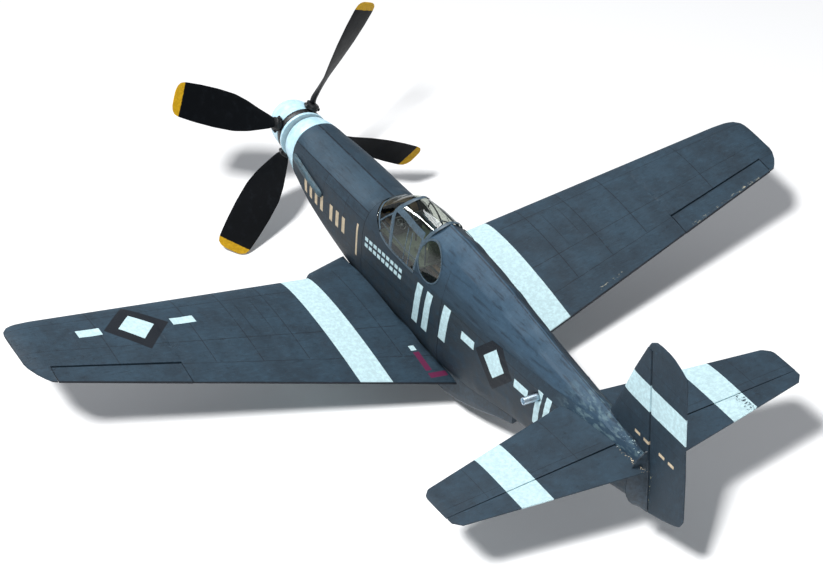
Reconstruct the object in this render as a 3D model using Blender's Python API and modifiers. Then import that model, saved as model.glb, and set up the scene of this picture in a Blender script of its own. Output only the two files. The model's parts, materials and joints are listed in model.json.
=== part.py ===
"""Rubber-powered flying scale model of a low-wing fighter, built as separate pieces.

Row frame: +X to the aeroplane's left (port), +Y aft, +Z up, metres. The origin is the middle of the
flat underside of the radiator duct. Places are written as at(port, aft, up) in inches of the full-size
aeroplane: aft of the propeller's disc, up from the level datum line.
"""

import math

import bmesh
import bpy
import numpy as np
from mathutils import Matrix, Vector

# ---------------------------------------------------------------- driving dimensions
SCALE = 1 / 16
INCH = 0.0254 * SCALE  # one full-size inch on the model
ORIGIN_AFT = 164.0
ORIGIN_UP = -52.5
GAP = 0.2  # 0.32 mm between neighbouring pieces

SKIN = 0.5  # tissue and sheet skin
GLASS = 0.3
SEAM_LIFT = 0.22  # half the gap along the seam, as height
COWL_SKIN = 1.0  # the nose is planked in thicker wood

# Fuselage stations: aft, top, bottom, widest height, half width, upper and lower squareness.
STATIONS = (
    (12, 17.2, -10.6, 3.3, 13.6, 2.0, 2.0),
    (20, 18.8, -15.4, 1.8, 14.8, 2.2, 2.2),
    (40, 19.3, -23.4, -1.0, 16.9, 2.5, 2.6),
    (70, 19.3, -31.2, -3.0, 18.4, 2.7, 3.0),
    (104, 19.8, -37.6, -4.0, 18.3, 2.8, 3.5),
    (116, 27.8, -38.8, -4.5, 18.0, 2.1, 3.8),
    (128, 34.6, -39.2, -5.0, 17.6, 1.8, 3.9),
    (152, 36.3, -39.4, -5.0, 17.0, 1.72, 3.9),
    (188, 34.8, -38.4, -5.0, 15.9, 1.7, 3.7),
    (226, 29.8, -33.6, -4.0, 14.0, 1.75, 3.2),
    (250, 25.3, -29.8, -3.0, 12.6, 1.8, 2.9),
    (283, 20.6, -25.3, -2.0, 10.6, 1.9, 2.6),
    (310, 17.5, -20.8, 0.0, 7.5, 2.0, 2.4),
    (338, 13.8, -15.4, 0.5, 3.0, 2.0, 2.0),
)
COWL_FRONT = 23.4
COWL_REAR = 104.0
CABIN_REAR = 178.0
CANOPY_REAR = 149.7
CABIN_STATIONS = (107, 110, 113, 116, 120, 125, 131, 137, 143)
SHELL_REAR = 335.0

# Height of the line where the skin below meets the glass, then the rear deck.
SEAM = ((104, 19.6), (108, 18.2), (112, 15.0), (120, 9.6), (130, 7.2), (150, 6.4), (200, 8.0),
        (250, 10.5), (300, 13.2), (338, 12.6))

# Wing, one side.
WING_ROOT = 12.0  # the panels butt against the body here
WING_ROOT_UP = -32.2
DIHEDRAL = 0.182
INCIDENCE = -0.064  # the trailing edge sits lower
WING_THICKNESS = 0.108
WING_CAMBER = 0.008
HALF_SPAN = 222.0
AILERON_INNER = 146.0
AILERON_OUTER = 210.0
AILERON_HINGE = 0.80  # share of the chord

# Tailplane, one side, set with the left tip low to turn the glide.
STAB_HALF_SPAN = 97.0
STAB_UP = 7.6
STAB_RISE = 0.035
STAB_TILT = -0.091
STAB_THICKNESS = 0.058
ELEVATOR_HINGE = 318.0
ELEVATOR_INNER = 6.4
ELEVATOR_ROOT_TAPER = 0.12  # how far the root closes in on the body per inch aft

# Fin and rudder.
RUDDER_LINE_AFT = 339.6
RUDDER_LINE_UP = -12.1
RUDDER_LINE_LEAN = -0.138
RUDDER_RADIUS = 1.3
FIN_HALF_THICKNESS = 1.4

# Propeller and nose.
THRUST_UP = 3.5
THRUST_PIVOT_AFT = 9.5
SIDE_THRUST = 5.0  # degrees to the right
PLUG_FRONT = 10.9
PROP_PITCH = 236.0
BLADE_ANGLES = (25.8, 118.8, 205.8, 298.8)  # from the left, turning upwards
HUB_AFT = 0.6
HOOK_AFT = 37.6
HUB_RADIUS = 13.4
SOCKET_RADIUS = 3.1
SPINNER_REAR = 2.6
SPINNER_WAIST = -3.0  # where the dome starts
SHAFT_RADIUS = 0.47
PLUG_RADIUS = 8.6

# Quarter windows.
WINDOW_AFT = 161.2
WINDOW_UP = 18.4
WINDOW_HALF_LENGTH = 9.6
WINDOW_HALF_HEIGHT = 10.2
WINDOW_GROW = 0.25

# Rear motor peg.
PEG_AFT = 259.5
PEG_UP = -0.2
PEG_RADIUS = 1.9
PEG_BORE = 1.55
PEG_HALF_LENGTH = 19.0
STRAND_RADIUS = 1.0


def at(port, aft, up):
    return Vector((port, aft - ORIGIN_AFT, up - ORIGIN_UP)) * INCH


# ---------------------------------------------------------------- scene and materials
for old in list(bpy.data.objects):
    bpy.data.objects.remove(old)

PARTS = bpy.data.collections.new("propeller_plane_model")
CUTTERS = bpy.data.collections.new("cutters")
bpy.context.scene.collection.children.link(PARTS)
bpy.context.scene.collection.children.link(CUTTERS)
CUTTERS.hide_render = True


def material(name, colour, roughness, metallic=0.0, alpha=1.0):
    made = bpy.data.materials.new(name)
    made.use_nodes = True
    shader = made.node_tree.nodes["Principled BSDF"]
    shader.inputs["Base Color"].default_value = (*colour, 1)
    shader.inputs["Roughness"].default_value = roughness
    shader.inputs["Metallic"].default_value = metallic
    shader.inputs["Alpha"].default_value = alpha
    return made


SLATE = (0.035, 0.062, 0.085)
DECK_BLUE = (0.060, 0.130, 0.200)
PALE = (0.66, 0.84, 0.88)
BLACK = (0.008, 0.009, 0.010)
BALSA = (0.62, 0.45, 0.26)
PLY = (0.50, 0.33, 0.17)
STEEL = (0.55, 0.56, 0.57)
ALUMINIUM = (0.42, 0.52, 0.60)
COCKPIT_GREEN = (0.10, 0.13, 0.09)


def finish(obj, colour, roughness=0.6, metallic=0.0, alpha=1.0):
    obj.data.materials.append(material(obj.name, colour, roughness, metallic, alpha))
    return obj


# ---------------------------------------------------------------- mesh helpers
def place(name, data, collection=PARTS):
    obj = bpy.data.objects.new(name, data)
    collection.objects.link(obj)
    if collection is CUTTERS:
        obj.hide_render = True
        obj.display_type = "WIRE"
    return obj


def mesh_object(name, points, faces, collection=PARTS):
    data = bpy.data.meshes.new(name)
    data.from_pydata([tuple(p) for p in points], [], faces)
    edit = bmesh.new()
    edit.from_mesh(data)
    bmesh.ops.recalc_face_normals(edit, faces=edit.faces)
    edit.to_mesh(data)
    edit.free()
    data.shade_smooth()
    data.set_sharp_from_angle(angle=math.radians(35))
    return place(name, data, collection)


def loft(name, loops, collection=PARTS):
    """A closed solid through loops of equal length, capped at both ends."""
    count = len(loops[0])
    points = [point for loop in loops for point in loop]
    faces = []
    for row in range(len(loops) - 1):
        for i in range(count):
            j = (i + 1) % count
            low = row * count
            faces.append((low + i, low + j, low + count + j, low + count + i))
    last = (len(loops) - 1) * count
    faces.append(tuple(reversed(range(count))))
    faces.append(tuple(range(last, last + count)))
    return mesh_object(name, points, faces, collection)


def sheet(name, rows, thickness, centre, closed=False):
    """A skin of even thickness behind a grid of points, the thickness laid towards centre(aft)."""
    count = len(rows[0])
    points = [point for row in rows for point in row]
    faces = []
    for row in range(len(rows) - 1):
        for i in range(count if closed else count - 1):
            j = (i + 1) % count
            low = row * count
            faces.append((low + i, low + j, low + count + j, low + count + i))
    obj = mesh_object(name, points, faces)
    middle = obj.data.polygons[len(obj.data.polygons) // 2]
    if middle.normal.dot(middle.center - centre) < 0:
        obj.data.flip_normals()
    solid = obj.modifiers.new("thickness", "SOLIDIFY")
    solid.thickness = thickness * INCH
    solid.offset = -1
    solid.use_even_offset = True
    return obj


def turned(name, profile, steps=32):
    """A solid of revolution about the thrust line. profile holds (aft, radius): outer side front to
    back, then the inner side forward, and it joins back to its first point unless it ends on the axis."""
    data = bpy.data.meshes.new(name)
    points = [(radius * INCH, 0.0, -aft * INCH) for aft, radius in profile]
    edges = [(i, i + 1) for i in range(len(points) - 1)]
    if profile[0][1] > 0:
        edges.append((len(points) - 1, 0))
    data.from_pydata(points, edges, [])
    obj = place(name, data)
    screw = obj.modifiers.new("turn", "SCREW")
    screw.axis = "Z"
    screw.steps = steps
    screw.render_steps = steps
    screw.use_merge_vertices = True
    screw.merge_threshold = 0.00002
    screw.use_smooth_shade = True
    obj.rotation_euler = (math.radians(90), 0, 0)
    obj.location = at(0, 0, THRUST_UP)
    return obj


def cylinder(name, radius, start, end, sides=24, collection=PARTS):
    edit = bmesh.new()
    axis = end - start
    turn = axis.to_track_quat("Z", "Y").to_matrix().to_4x4()
    bmesh.ops.create_cone(
        edit, cap_ends=True, segments=sides, radius1=radius * INCH, radius2=radius * INCH,
        depth=axis.length, matrix=Matrix.Translation((start + end) / 2) @ turn)
    data = bpy.data.meshes.new(name)
    edit.to_mesh(data)
    edit.free()
    data.shade_smooth()
    data.set_sharp_from_angle(angle=math.radians(35))
    return place(name, data, collection)


def block(name, low, high, bevel=0.0, collection=PARTS):
    edit = bmesh.new()
    size = high - low
    spread = Matrix.Diagonal((*size, 1))
    bmesh.ops.create_cube(edit, size=1, matrix=Matrix.Translation((low + high) / 2) @ spread)
    data = bpy.data.meshes.new(name)
    edit.to_mesh(data)
    edit.free()
    obj = place(name, data, collection)
    if bevel:
        rounded = obj.modifiers.new("edges", "BEVEL")
        rounded.width = bevel * INCH
        rounded.segments = 2
    return obj


def plate(name, outline, half_thickness, middle_port=0.0):
    """A flat plate standing fore and aft; outline holds (aft, up)."""
    curve = bpy.data.curves.new(name, "CURVE")
    curve.dimensions = "2D"
    curve.fill_mode = "BOTH"
    curve.extrude = half_thickness * INCH
    spline = curve.splines.new("POLY")
    spline.points.add(len(outline) - 1)
    for point, (aft, up) in zip(spline.points, outline):
        point.co = ((aft - ORIGIN_AFT) * INCH, (up - ORIGIN_UP) * INCH, 0, 1)
    spline.use_cyclic_u = True
    obj = place(name, curve)
    obj.matrix_world = Matrix(((0, 0, 1, middle_port * INCH), (1, 0, 0, 0), (0, 1, 0, 0), (0, 0, 0, 1)))
    return obj


def wire(name, points, radius, cyclic=False):
    curve = bpy.data.curves.new(name, "CURVE")
    curve.dimensions = "3D"
    curve.bevel_depth = radius * INCH
    curve.bevel_resolution = 2
    curve.use_fill_caps = not cyclic
    spline = curve.splines.new("POLY")
    spline.points.add(len(points) - 1)
    for point, place_at in zip(spline.points, points):
        point.co = (*place_at, 1)
    spline.use_cyclic_u = cyclic
    return place(name, curve)


def boolean(obj, other, operation="DIFFERENCE"):
    cut = obj.modifiers.new(operation.lower() + "_" + other.name, "BOOLEAN")
    cut.operation = operation
    cut.object = other
    return obj


def joint_empty(name, origin, direction, pieces):
    """An empty on a joint's axis, its Z along the axis, that carries the moving pieces."""
    empty = place(name, None)
    empty.empty_display_size = 0.01
    empty.matrix_world = Matrix.Translation(origin) @ direction.to_track_quat("Z", "Y").to_matrix().to_4x4()
    for piece in pieces:
        piece.parent = empty
        piece.matrix_parent_inverse = empty.matrix_world.inverted()
    return empty


# ---------------------------------------------------------------- the fuselage's outer form
def smooth(table, column, aft):
    """Monotone cubic through the table, so that the form has no bumps between stations."""
    x = np.array([row[0] for row in table], float)
    y = np.array([row[column] for row in table], float)
    step = np.diff(x)
    slope = np.diff(y) / step
    tangent = np.zeros(len(x))
    tangent[0], tangent[-1] = slope[0], slope[-1]
    for i in range(1, len(x) - 1):
        if slope[i - 1] * slope[i] > 0:
            a = 2 * step[i] + step[i - 1]
            b = step[i] + 2 * step[i - 1]
            tangent[i] = (a + b) / (a / slope[i - 1] + b / slope[i])
    i = int(np.clip(np.searchsorted(x, aft) - 1, 0, len(x) - 2))
    t = (aft - x[i]) / step[i]
    return float(
        y[i] * (1 + 2 * t) * (1 - t) ** 2 + tangent[i] * step[i] * t * (1 - t) ** 2
        + y[i + 1] * t * t * (3 - 2 * t) - tangent[i + 1] * step[i] * t * t * (1 - t))


def body_point(aft, angle, grow=0.0):
    """A point of the outer form: angle 0 is the left side, 90 the top, 180 the right, 270 the bottom."""
    top, bottom, middle, half_width, square_up, square_down = (
        smooth(STATIONS, column, aft) for column in range(1, 7))
    across, rise = math.cos(math.radians(angle)), math.sin(math.radians(angle))
    square = square_up if rise >= 0 else square_down
    height = (top - middle if rise >= 0 else middle - bottom) + grow
    port = (half_width + grow) * math.copysign(abs(across) ** (2 / square), across)
    up = middle + height * math.copysign(abs(rise) ** (2 / square), rise)
    return at(port, aft, up)


def seam_angle(aft, lift=0.0):
    """Where the seam line's height meets the outer form, as an angle."""
    top, middle, square = (smooth(STATIONS, column, aft) for column in (1, 3, 5))
    share = min(0.9995, (smooth(SEAM, 1, aft) + lift - middle) / (top - middle))
    return math.degrees(math.asin(share ** (square / 2)))


def half_width_at(aft, up):
    top, bottom, middle, half_width, square_up, square_down = (
        smooth(STATIONS, column, aft) for column in range(1, 7))
    square = square_up if up >= middle else square_down
    share = abs(up - middle) / (top - middle if up >= middle else middle - bottom)
    return half_width * (1 - min(share, 1) ** square) ** (1 / square)


def ring(aft, count, grow=0.0):
    return [body_point(aft, 360 * (i + 0.5) / count, grow) for i in range(count)]


def stations_between(start, end, step):
    count = max(2, round((end - start) / step) + 1)
    return [start + (end - start) * i / (count - 1) for i in range(count)]


def centre_line(aft):
    return at(0, aft, smooth(STATIONS, 3, aft))


def strip(name, afts, count, first_angle, last_angle, thickness):
    """A skin between two angles that may change along the body."""
    rows = []
    for aft in afts:
        low, high = first_angle(aft), last_angle(aft)
        rows.append([body_point(aft, low + (high - low) * i / (count - 1)) for i in range(count)])
    return sheet(name, rows, thickness, centre_line((afts[0] + afts[-1]) / 2))


def fuselage_cutter():
    afts = stations_between(62, SHELL_REAR + 0.2, 11)
    return loft("fuselage_space", [ring(aft, 36, GAP) for aft in afts], CUTTERS)


def make_cowl():
    afts = stations_between(COWL_FRONT, COWL_REAR, 8.5)
    rows = [ring(aft, 28) for aft in afts]
    cowl = sheet("nose_cowl", rows, COWL_SKIN, centre_line(60), closed=True)
    return finish(cowl, SLATE, 0.55)


def lower_skin(name, afts):
    def right_edge(aft):
        return 180 - seam_angle(aft, -SEAM_LIFT)

    def left_edge(aft):
        return 360 + seam_angle(aft, -SEAM_LIFT)

    return finish(strip(name, afts, 27, right_edge, left_edge, SKIN), SLATE, 0.65)


def upper_skin(name, afts, thickness):
    def left_edge(aft):
        return seam_angle(aft, SEAM_LIFT)

    def right_edge(aft):
        return 180 - seam_angle(aft, SEAM_LIFT)

    return strip(name, afts, 15, left_edge, right_edge, thickness)


def window_cutter():
    """An oval bar right across the deck, for both quarter windows."""
    loops = []
    for port in (-30, 30):
        loops.append([at(port, *window_outline(i / 24, WINDOW_GROW)) for i in range(24)])
    return loft("window_space", loops, CUTTERS)


def window_outline(turn, grow=0.0):
    """(aft, up) on the window's edge, an egg with its narrow end up and forward."""
    angle = 2 * math.pi * turn
    rise = math.sin(angle)
    across = math.cos(angle) * (1 - 0.16 * rise)
    return (WINDOW_AFT + (WINDOW_HALF_LENGTH + grow) * across - 1.2 * rise,
            WINDOW_UP + (WINDOW_HALF_HEIGHT + grow) * rise)


def make_window(name, side):
    rings = 3
    sides = 20
    points = [at(side * half_width_at(WINDOW_AFT, WINDOW_UP), WINDOW_AFT, WINDOW_UP)]
    faces = []
    for r in range(1, rings + 1):
        for i in range(sides):
            edge_aft, edge_up = window_outline(i / sides)
            aft = WINDOW_AFT + (edge_aft - WINDOW_AFT) * r / rings
            up = WINDOW_UP + (edge_up - WINDOW_UP) * r / rings
            points.append(at(side * half_width_at(aft, up), aft, up))
    for i in range(sides):
        j = (i + 1) % sides
        faces.append((0, 1 + i, 1 + j))
        for r in range(rings - 1):
            low = 1 + r * sides
            faces.append((low + i, low + sides + i, low + sides + j, low + j))
    obj = mesh_object(name, points, faces)
    first = obj.data.polygons[0]
    if first.normal.x * side < 0:
        obj.data.flip_normals()
    solid = obj.modifiers.new("thickness", "SOLIDIFY")
    solid.thickness = 0.35 * INCH
    solid.offset = -1
    return finish(obj, (0.75, 0.82, 0.80), 0.05, alpha=0.3)


def ring_solid(name, loops, collection=PARTS):
    """A closed solid with a hole through it, from loops joined round and back to the first."""
    count = len(loops[0])
    points = [point for loop in loops for point in loop]
    faces = []
    for row in range(len(loops)):
        low, high = row * count, ((row + 1) % len(loops)) * count
        for i in range(count):
            j = (i + 1) % count
            faces.append((low + i, low + j, high + j, high + i))
    return mesh_object(name, points, faces, collection)


def former(name, aft, thickness, inset, rim, count=24):
    """A wooden ring that the skins are glued to."""
    loops = []
    for station, depth in ((aft, inset), (aft + thickness, inset), (aft + thickness, rim), (aft, rim)):
        outer = ring(aft, count, -depth)
        shift = Vector((0, (station - aft) * INCH, 0))
        loops.append([point + shift for point in outer])
    return finish(ring_solid(name, loops), BALSA, 0.8)


def circle(aft, radius, count):
    """A circle about the thrust line, its points at the same angles as ring()."""
    points = []
    for i in range(count):
        angle = 2 * math.pi * (i + 0.5) / count
        points.append(at(radius * math.cos(angle), aft, THRUST_UP + radius * math.sin(angle)))
    return points


# ---------------------------------------------------------------- ducts under the body
def belly_up(aft, port):
    bottom, middle, half_width, square = (smooth(STATIONS, column, aft) for column in (2, 3, 4, 6))
    return middle - (middle - bottom) * (1 - min(1, port / half_width) ** square) ** (1 / square)


def duct(name, stations, thickness, colour):
    """A scoop: three walls under the belly, open in front and behind. stations: aft, bottom, half width."""
    rows = []
    for aft, bottom, wide in stations:
        top = belly_up(aft, wide - 1.5 * thickness) - GAP
        corner = min(5.0, 0.8 * (top - bottom))
        half = ((wide, top), (wide, bottom + corner), (0.97 * wide, bottom + 0.4 * corner),
                (0.87 * wide, bottom + 0.1 * corner), (0.76 * wide, bottom), (0.3 * wide, bottom))
        left = [at(port, aft, up) for port, up in half]
        right = [at(-port, aft, up) for port, up in reversed(half)]
        rows.append(left + right)
    middle = stations[len(stations) // 2][0]
    return finish(sheet(name, rows, thickness, at(0, middle, -20)), colour, 0.6)


# ---------------------------------------------------------------- wing
def wing_leading(port):
    if port > 45.6:
        return 92.6 + 0.048 * port
    if port > 42:
        return 90.8 + (port - 42) * 1.1
    return 79.8 + (port - 16.5) * 0.431


def wing_trailing(port):
    return 196.3 - 0.217 * port


def wing_plane_up(port, aft):
    return WING_ROOT_UP + DIHEDRAL * port + INCIDENCE * (aft - 92.6 - 0.048 * port)


def naca_half(share):
    return 5 * (0.2969 * math.sqrt(share) - 0.1260 * share - 0.3516 * share ** 2
                + 0.2843 * share ** 3 - 0.1036 * share ** 4)


def wing_surface(port, share, over, trim=(0.0, 0.0, 1.0)):
    """A point of the wing: over is +1 for the upper surface, -1 for the lower."""
    lead = wing_leading(port) + trim[0]
    chord = wing_trailing(port) - trim[1] - lead
    aft = lead + share * chord
    thick = max(WING_THICKNESS * trim[2] * chord * naca_half(share), 0.32 * share)
    camber = 4 * WING_CAMBER * chord * share * (1 - share)
    return aft, wing_plane_up(port, aft) + camber + over * thick


def wing_loop(port, side, trim=(0.0, 0.0, 1.0), count=11):
    shares = [0.5 * (1 - math.cos(math.pi * i / (count - 1))) for i in range(count)]
    upper = [wing_surface(port, share, 1, trim) for share in reversed(shares)]
    lower = [wing_surface(port, share, -1, trim) for share in shares[1:]]
    return [at(side * port, aft, up) for aft, up in upper + lower]


# Wing tip: span, what the leading and trailing edges lose, share of the thickness left.
WING_TIP = ((205, 0, 0, 1), (213, 0.6, 0.2, 0.92), (217, 1.8, 4.0, 0.8), (220, 5.0, 9.5, 0.6),
            (221.6, 10.0, 17.0, 0.38))


def hinge_at(port):
    """Aileron hinge: aft, up and nose radius."""
    aft, over = wing_surface(port, AILERON_HINGE, 1)
    under = wing_surface(port, AILERON_HINGE, -1)[1]
    return aft, (over + under) / 2, (over - under) / 2


def aileron_point(port, side, aft, up, hinge_up):
    """End faces stand square to the dihedral, so that they stay clear as the aileron swings."""
    return at(side * (port - (up - hinge_up) * DIHEDRAL), aft, up)


def aileron_cutter(name, side):
    loops = []
    for port in (AILERON_INNER - GAP, AILERON_OUTER + GAP):
        aft, up, radius = hinge_at(port)
        corners = ((aft - radius - GAP, up - 9), (wing_trailing(port) + 6, up - 9),
                   (wing_trailing(port) + 6, up + 9), (aft - radius - GAP, up + 9))
        loops.append([aileron_point(port, side, a, u, up) for a, u in corners])
    return loft(name, loops, CUTTERS)


def nose_arc(aft, up, radius, count=7):
    """Points round the front half of a hinged surface's nose, top to bottom."""
    arc = []
    for i in range(count):
        angle = math.pi * i / (count - 1)
        arc.append((aft - radius * math.sin(angle), up + radius * math.cos(angle)))
    return arc


def make_wing(name, side, fuselage):
    ports = (WING_ROOT, 17, 30, 42, 45.6, 78, 112, AILERON_INNER, 176)
    loops = [wing_loop(port, side) for port in ports]
    loops += [wing_loop(port, side, trim) for port, *trim in WING_TIP]
    wing = loft(name, loops)
    boolean(wing, fuselage)
    boolean(wing, aileron_cutter("aileron_space_" + name, side))
    return finish(wing, SLATE, 0.6)


def make_aileron(name, side):
    """The aileron, on an empty whose Z runs outboard along the hinge."""
    loops = []
    for port in (AILERON_INNER, 178, AILERON_OUTER):
        aft, up, radius = hinge_at(port)
        loop = nose_arc(aft, up, radius)
        loop += [wing_surface(port, share, -1) for share in (0.9, 1.0)]
        loop += [wing_surface(port, share, 1) for share in (1.0, 0.9)]
        loops.append([aileron_point(port, side, a, u, up) for a, u in loop])
    aileron = finish(loft(name, loops), SLATE, 0.6)
    inner, outer = (at(side * port, *hinge_at(port)[:2]) for port in (AILERON_INNER, AILERON_OUTER))
    joint_empty(name + "_hinge", inner, outer - inner, [aileron])


# ---------------------------------------------------------------- tail
def stab_leading(port):
    return 275.6 + 0.211 * port


def stab_trailing(port):
    return 341.4 - 0.170 * port


def stab_point(port, side, aft, offset):
    plane = STAB_UP + STAB_RISE * (aft - 275.6)
    return at(side * port, aft, plane + STAB_TILT * side * port + offset)


def stab_half(port, aft):
    chord = stab_trailing(port) - stab_leading(port)
    share = (aft - stab_leading(port)) / chord
    return max(STAB_THICKNESS * chord * naca_half(min(max(share, 0), 1)), 0.3 * share)


def elevator_radius(port):
    return max(stab_half(port, ELEVATOR_HINGE), 0.5)


def make_stabilizer(name, side, fuselage):
    loops = []
    for port, lost, thin in ((2, 0, 1), (20, 0, 1), (50, 0, 1), (80, 0, 1), (93, 0, 0.9),
                             (95.8, 1.2, 0.75), (97, 4.0, 0.5)):
        lead = stab_leading(port) + lost
        rear = ELEVATOR_HINGE - elevator_radius(port) - GAP
        shares = (1, 0.75, 0.5, 0.28, 0.12, 0.04)
        upper = [(lead + (rear - lead) * share, 1) for share in shares]
        lower = [(lead + (rear - lead) * share, -1) for share in reversed(shares)]
        loop = [stab_point(port, side, aft, over * thin * stab_half(port, aft)) for aft, over in upper]
        loop.append(stab_point(port, side, lead, 0))
        loop += [stab_point(port, side, aft, over * thin * stab_half(port, aft)) for aft, over in lower]
        loops.append(loop)
    return finish(boolean(loft(name, loops), fuselage), SLATE, 0.6)


def make_elevator(name, side):
    loops = []
    for port, lost in ((ELEVATOR_INNER, 0), (50, 0), (93, 0), (96.6, 3.5)):
        radius = elevator_radius(port)
        rear = stab_trailing(port) - lost
        middle = (ELEVATOR_HINGE + rear) / 2
        loop = nose_arc(ELEVATOR_HINGE, 0, radius)
        loop += [(middle, -0.55 * radius - 0.12), (rear, -0.3), (rear, 0.3), (middle, 0.55 * radius + 0.12)]
        taper = ELEVATOR_ROOT_TAPER if port == ELEVATOR_INNER else 0
        loops.append([stab_point(port - taper * (aft - ELEVATOR_HINGE), side, aft, up) for aft, up in loop])
    return finish(loft(name, loops), SLATE, 0.6)


def rudder_line(up):
    return RUDDER_LINE_AFT + RUDDER_LINE_LEAN * (up - RUDDER_LINE_UP)


FIN_LEADING = ((12, 299.9), (19, 303.0), (38.5, 311.7), (52, 317.0), (69, 324.9))
# Rudder: height, nose centre behind the hinge line (or None to sit on it), trailing edge.
RUDDER_OUTLINE = (
    (-15.0, None, 343.5), (-13.6, None, 349.4), (-10.8, None, 357.0), (-8.3, None, 363.0),
    (-3.6, None, 365.4), (19.5, None, 362.6), (36.3, None, 359.8), (50.3, None, 357.9),
    (65.5, None, 355.8), (69.4, None, 354.8), (69.9, 326.4, 354.5), (72.0, 327.2, 350.5),
    (74.2, 330.0, 345.0), (75.0, 334.5, 340.5))


def make_fin(fuselage):
    loops = []
    for up, lead in FIN_LEADING:
        rear = rudder_line(up) - 0.1
        chord = rear - lead
        thick = FIN_HALF_THICKNESS - 0.007 * up
        half = ((0.0, 0.0), (0.03, 0.4), (0.12, 0.8), (0.35, 1.0), (1.0, 0.92))
        left = [at(thick * wide, lead + chord * share, up) for share, wide in half]
        right = [at(-thick * wide, lead + chord * share, up) for share, wide in reversed(half[1:])]
        loops.append(left + right)
    return finish(boolean(loft("fin", loops), fuselage), SLATE, 0.6)


def make_rudder():
    loops = []
    for up, nose, trailing in RUDDER_OUTLINE:
        radius = RUDDER_RADIUS - 0.006 * max(up, 0)
        if nose is None:
            centre = rudder_line(up) + 0.15 + RUDDER_RADIUS
        else:
            centre = nose
            radius = 0.85 if up < 74.5 else 0.5
        half = [(centre - radius * math.cos(turn), radius * math.sin(turn))
                for turn in (0.0, math.pi / 4, math.pi / 2)]
        half += [(centre + 0.5 * (trailing - centre), 0.62 * radius + 0.1), (trailing, 0.3)]
        left = [at(port, aft, up) for aft, port in half]
        right = [at(-port, aft, up) for aft, port in reversed(half[1:])]
        loops.append(left + right)
    return finish(loft("rudder", loops), SLATE, 0.6)


# ---------------------------------------------------------------- propeller
# Blade: radius, chord, half thickness.
BLADE = ((16.8, 6.0, 1.9), (19, 8.6, 1.8), (26, 13.4, 1.35), (33, 17.6, 1.05), (42, 20.8, 0.85),
         (54, 21.2, 0.7), (66, 20.4, 0.56), (76.2, 18.8, 0.42), (78.6, 16.8, 0.36), (80.0, 13.2, 0.32),
         (80.7, 8.4, 0.28))


def make_blade(name, degrees):
    turn = math.radians(degrees)
    outward = Vector((math.cos(turn), 0, math.sin(turn)))
    ahead = Vector((-math.sin(turn), 0, math.cos(turn)))
    forward = Vector((0, -1, 0))
    hub = at(0, HUB_AFT, THRUST_UP)
    loops = []
    for radius, chord, half in BLADE:
        pitch = min(math.atan2(PROP_PITCH, 2 * math.pi * radius), math.radians(58))
        along = ahead * math.cos(pitch) + forward * math.sin(pitch)
        across = forward * math.cos(pitch) - ahead * math.sin(pitch)
        crown = half * 1.4 if chord > 8 else half
        section = ((0.5, 0.0), (0.36, 0.75 * crown), (0.1, crown), (-0.2, 0.85 * crown),
                   (-0.4, 0.45 * crown), (-0.5, 0.1 * half), (-0.38, -0.3 * half), (-0.1, -0.5 * half),
                   (0.2, -0.55 * half), (0.42, -0.4 * half))
        if chord < 8:
            section = [(0.5 * math.cos(a), half * math.sin(a))
                       for a in (2 * math.pi * i / 10 for i in range(10))]
        loops.append([hub + (outward * radius + along * chord * share + across * rise) * INCH
                      for share, rise in section])
    return finish(loft(name, loops), BLACK, 0.35)


def make_hub():
    """The hub with its four blade sockets, and the sockets' helpers, which turn with it."""
    profile = ((-3.4, 0.75), (-3.4, 11.0), (-2.6, 11.6), (SPINNER_REAR + 0.25, 11.9),
               (SPINNER_REAR + 0.25, HUB_RADIUS), (5.8, HUB_RADIUS), (7.0, 12.6), (7.0, 0.75))
    hub = turned("prop_hub", profile)
    middle = at(0, HUB_AFT, THRUST_UP)
    sockets = []
    for number, degrees in enumerate(BLADE_ANGLES, 1):
        turn = math.radians(degrees)
        outward = Vector((math.cos(turn), 0, math.sin(turn))) * INCH
        ends = (middle + outward * 10, middle + outward * 16.5)
        sockets.append(cylinder(f"blade_socket_{number}", SOCKET_RADIUS, *ends, 16, CUTTERS))
        boolean(hub, sockets[-1], "UNION")
    return [finish(hub, BLACK, 0.4), *sockets]


def make_spinner():
    """The dome, notched round each blade socket, and the notches' helpers."""
    turns = [math.pi / 2 * i / 9 for i in range(10)]
    outer = [(SPINNER_WAIST - 15.9 * math.cos(t), 13.2 * math.sin(t) ** 0.92) for t in turns]
    inner = [(SPINNER_WAIST - 15.2 * math.cos(t), 12.5 * math.sin(t) ** 0.92) for t in reversed(turns)]
    outer[0] = (outer[0][0], 0.0)
    inner[-1] = (inner[-1][0], 0.0)
    rim = [(SPINNER_REAR, 13.35), (SPINNER_REAR, 12.65)]
    spinner = turned("spinner", outer + rim + inner)
    middle = at(0, HUB_AFT, THRUST_UP)
    notches = []
    for number, degrees in enumerate(BLADE_ANGLES, 1):
        turn = math.radians(degrees)
        outward = Vector((math.cos(turn), 0, math.sin(turn))) * INCH
        ends = (middle + outward * 9, middle + outward * 18)
        notches.append(cylinder(f"blade_notch_{number}", SOCKET_RADIUS + GAP, *ends, 24, CUTTERS))
        boolean(spinner, notches[-1])
    return [finish(spinner, PALE, 0.35), *notches]


def make_nose_block(bore):
    count = 28
    loops = [circle(PLUG_FRONT, 12.2, count), circle(PLUG_FRONT + 0.5, 12.9, count)]
    loops += [ring(aft, count) for aft in (12.6, 15.0, 18.5, COWL_FRONT - GAP)]
    loops += [circle(COWL_FRONT - GAP + 0.02, PLUG_RADIUS, count), circle(29, PLUG_RADIUS - 0.2, count)]
    return finish(boolean(loft("nose_block", loops), bore), PALE, 0.45)


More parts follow.
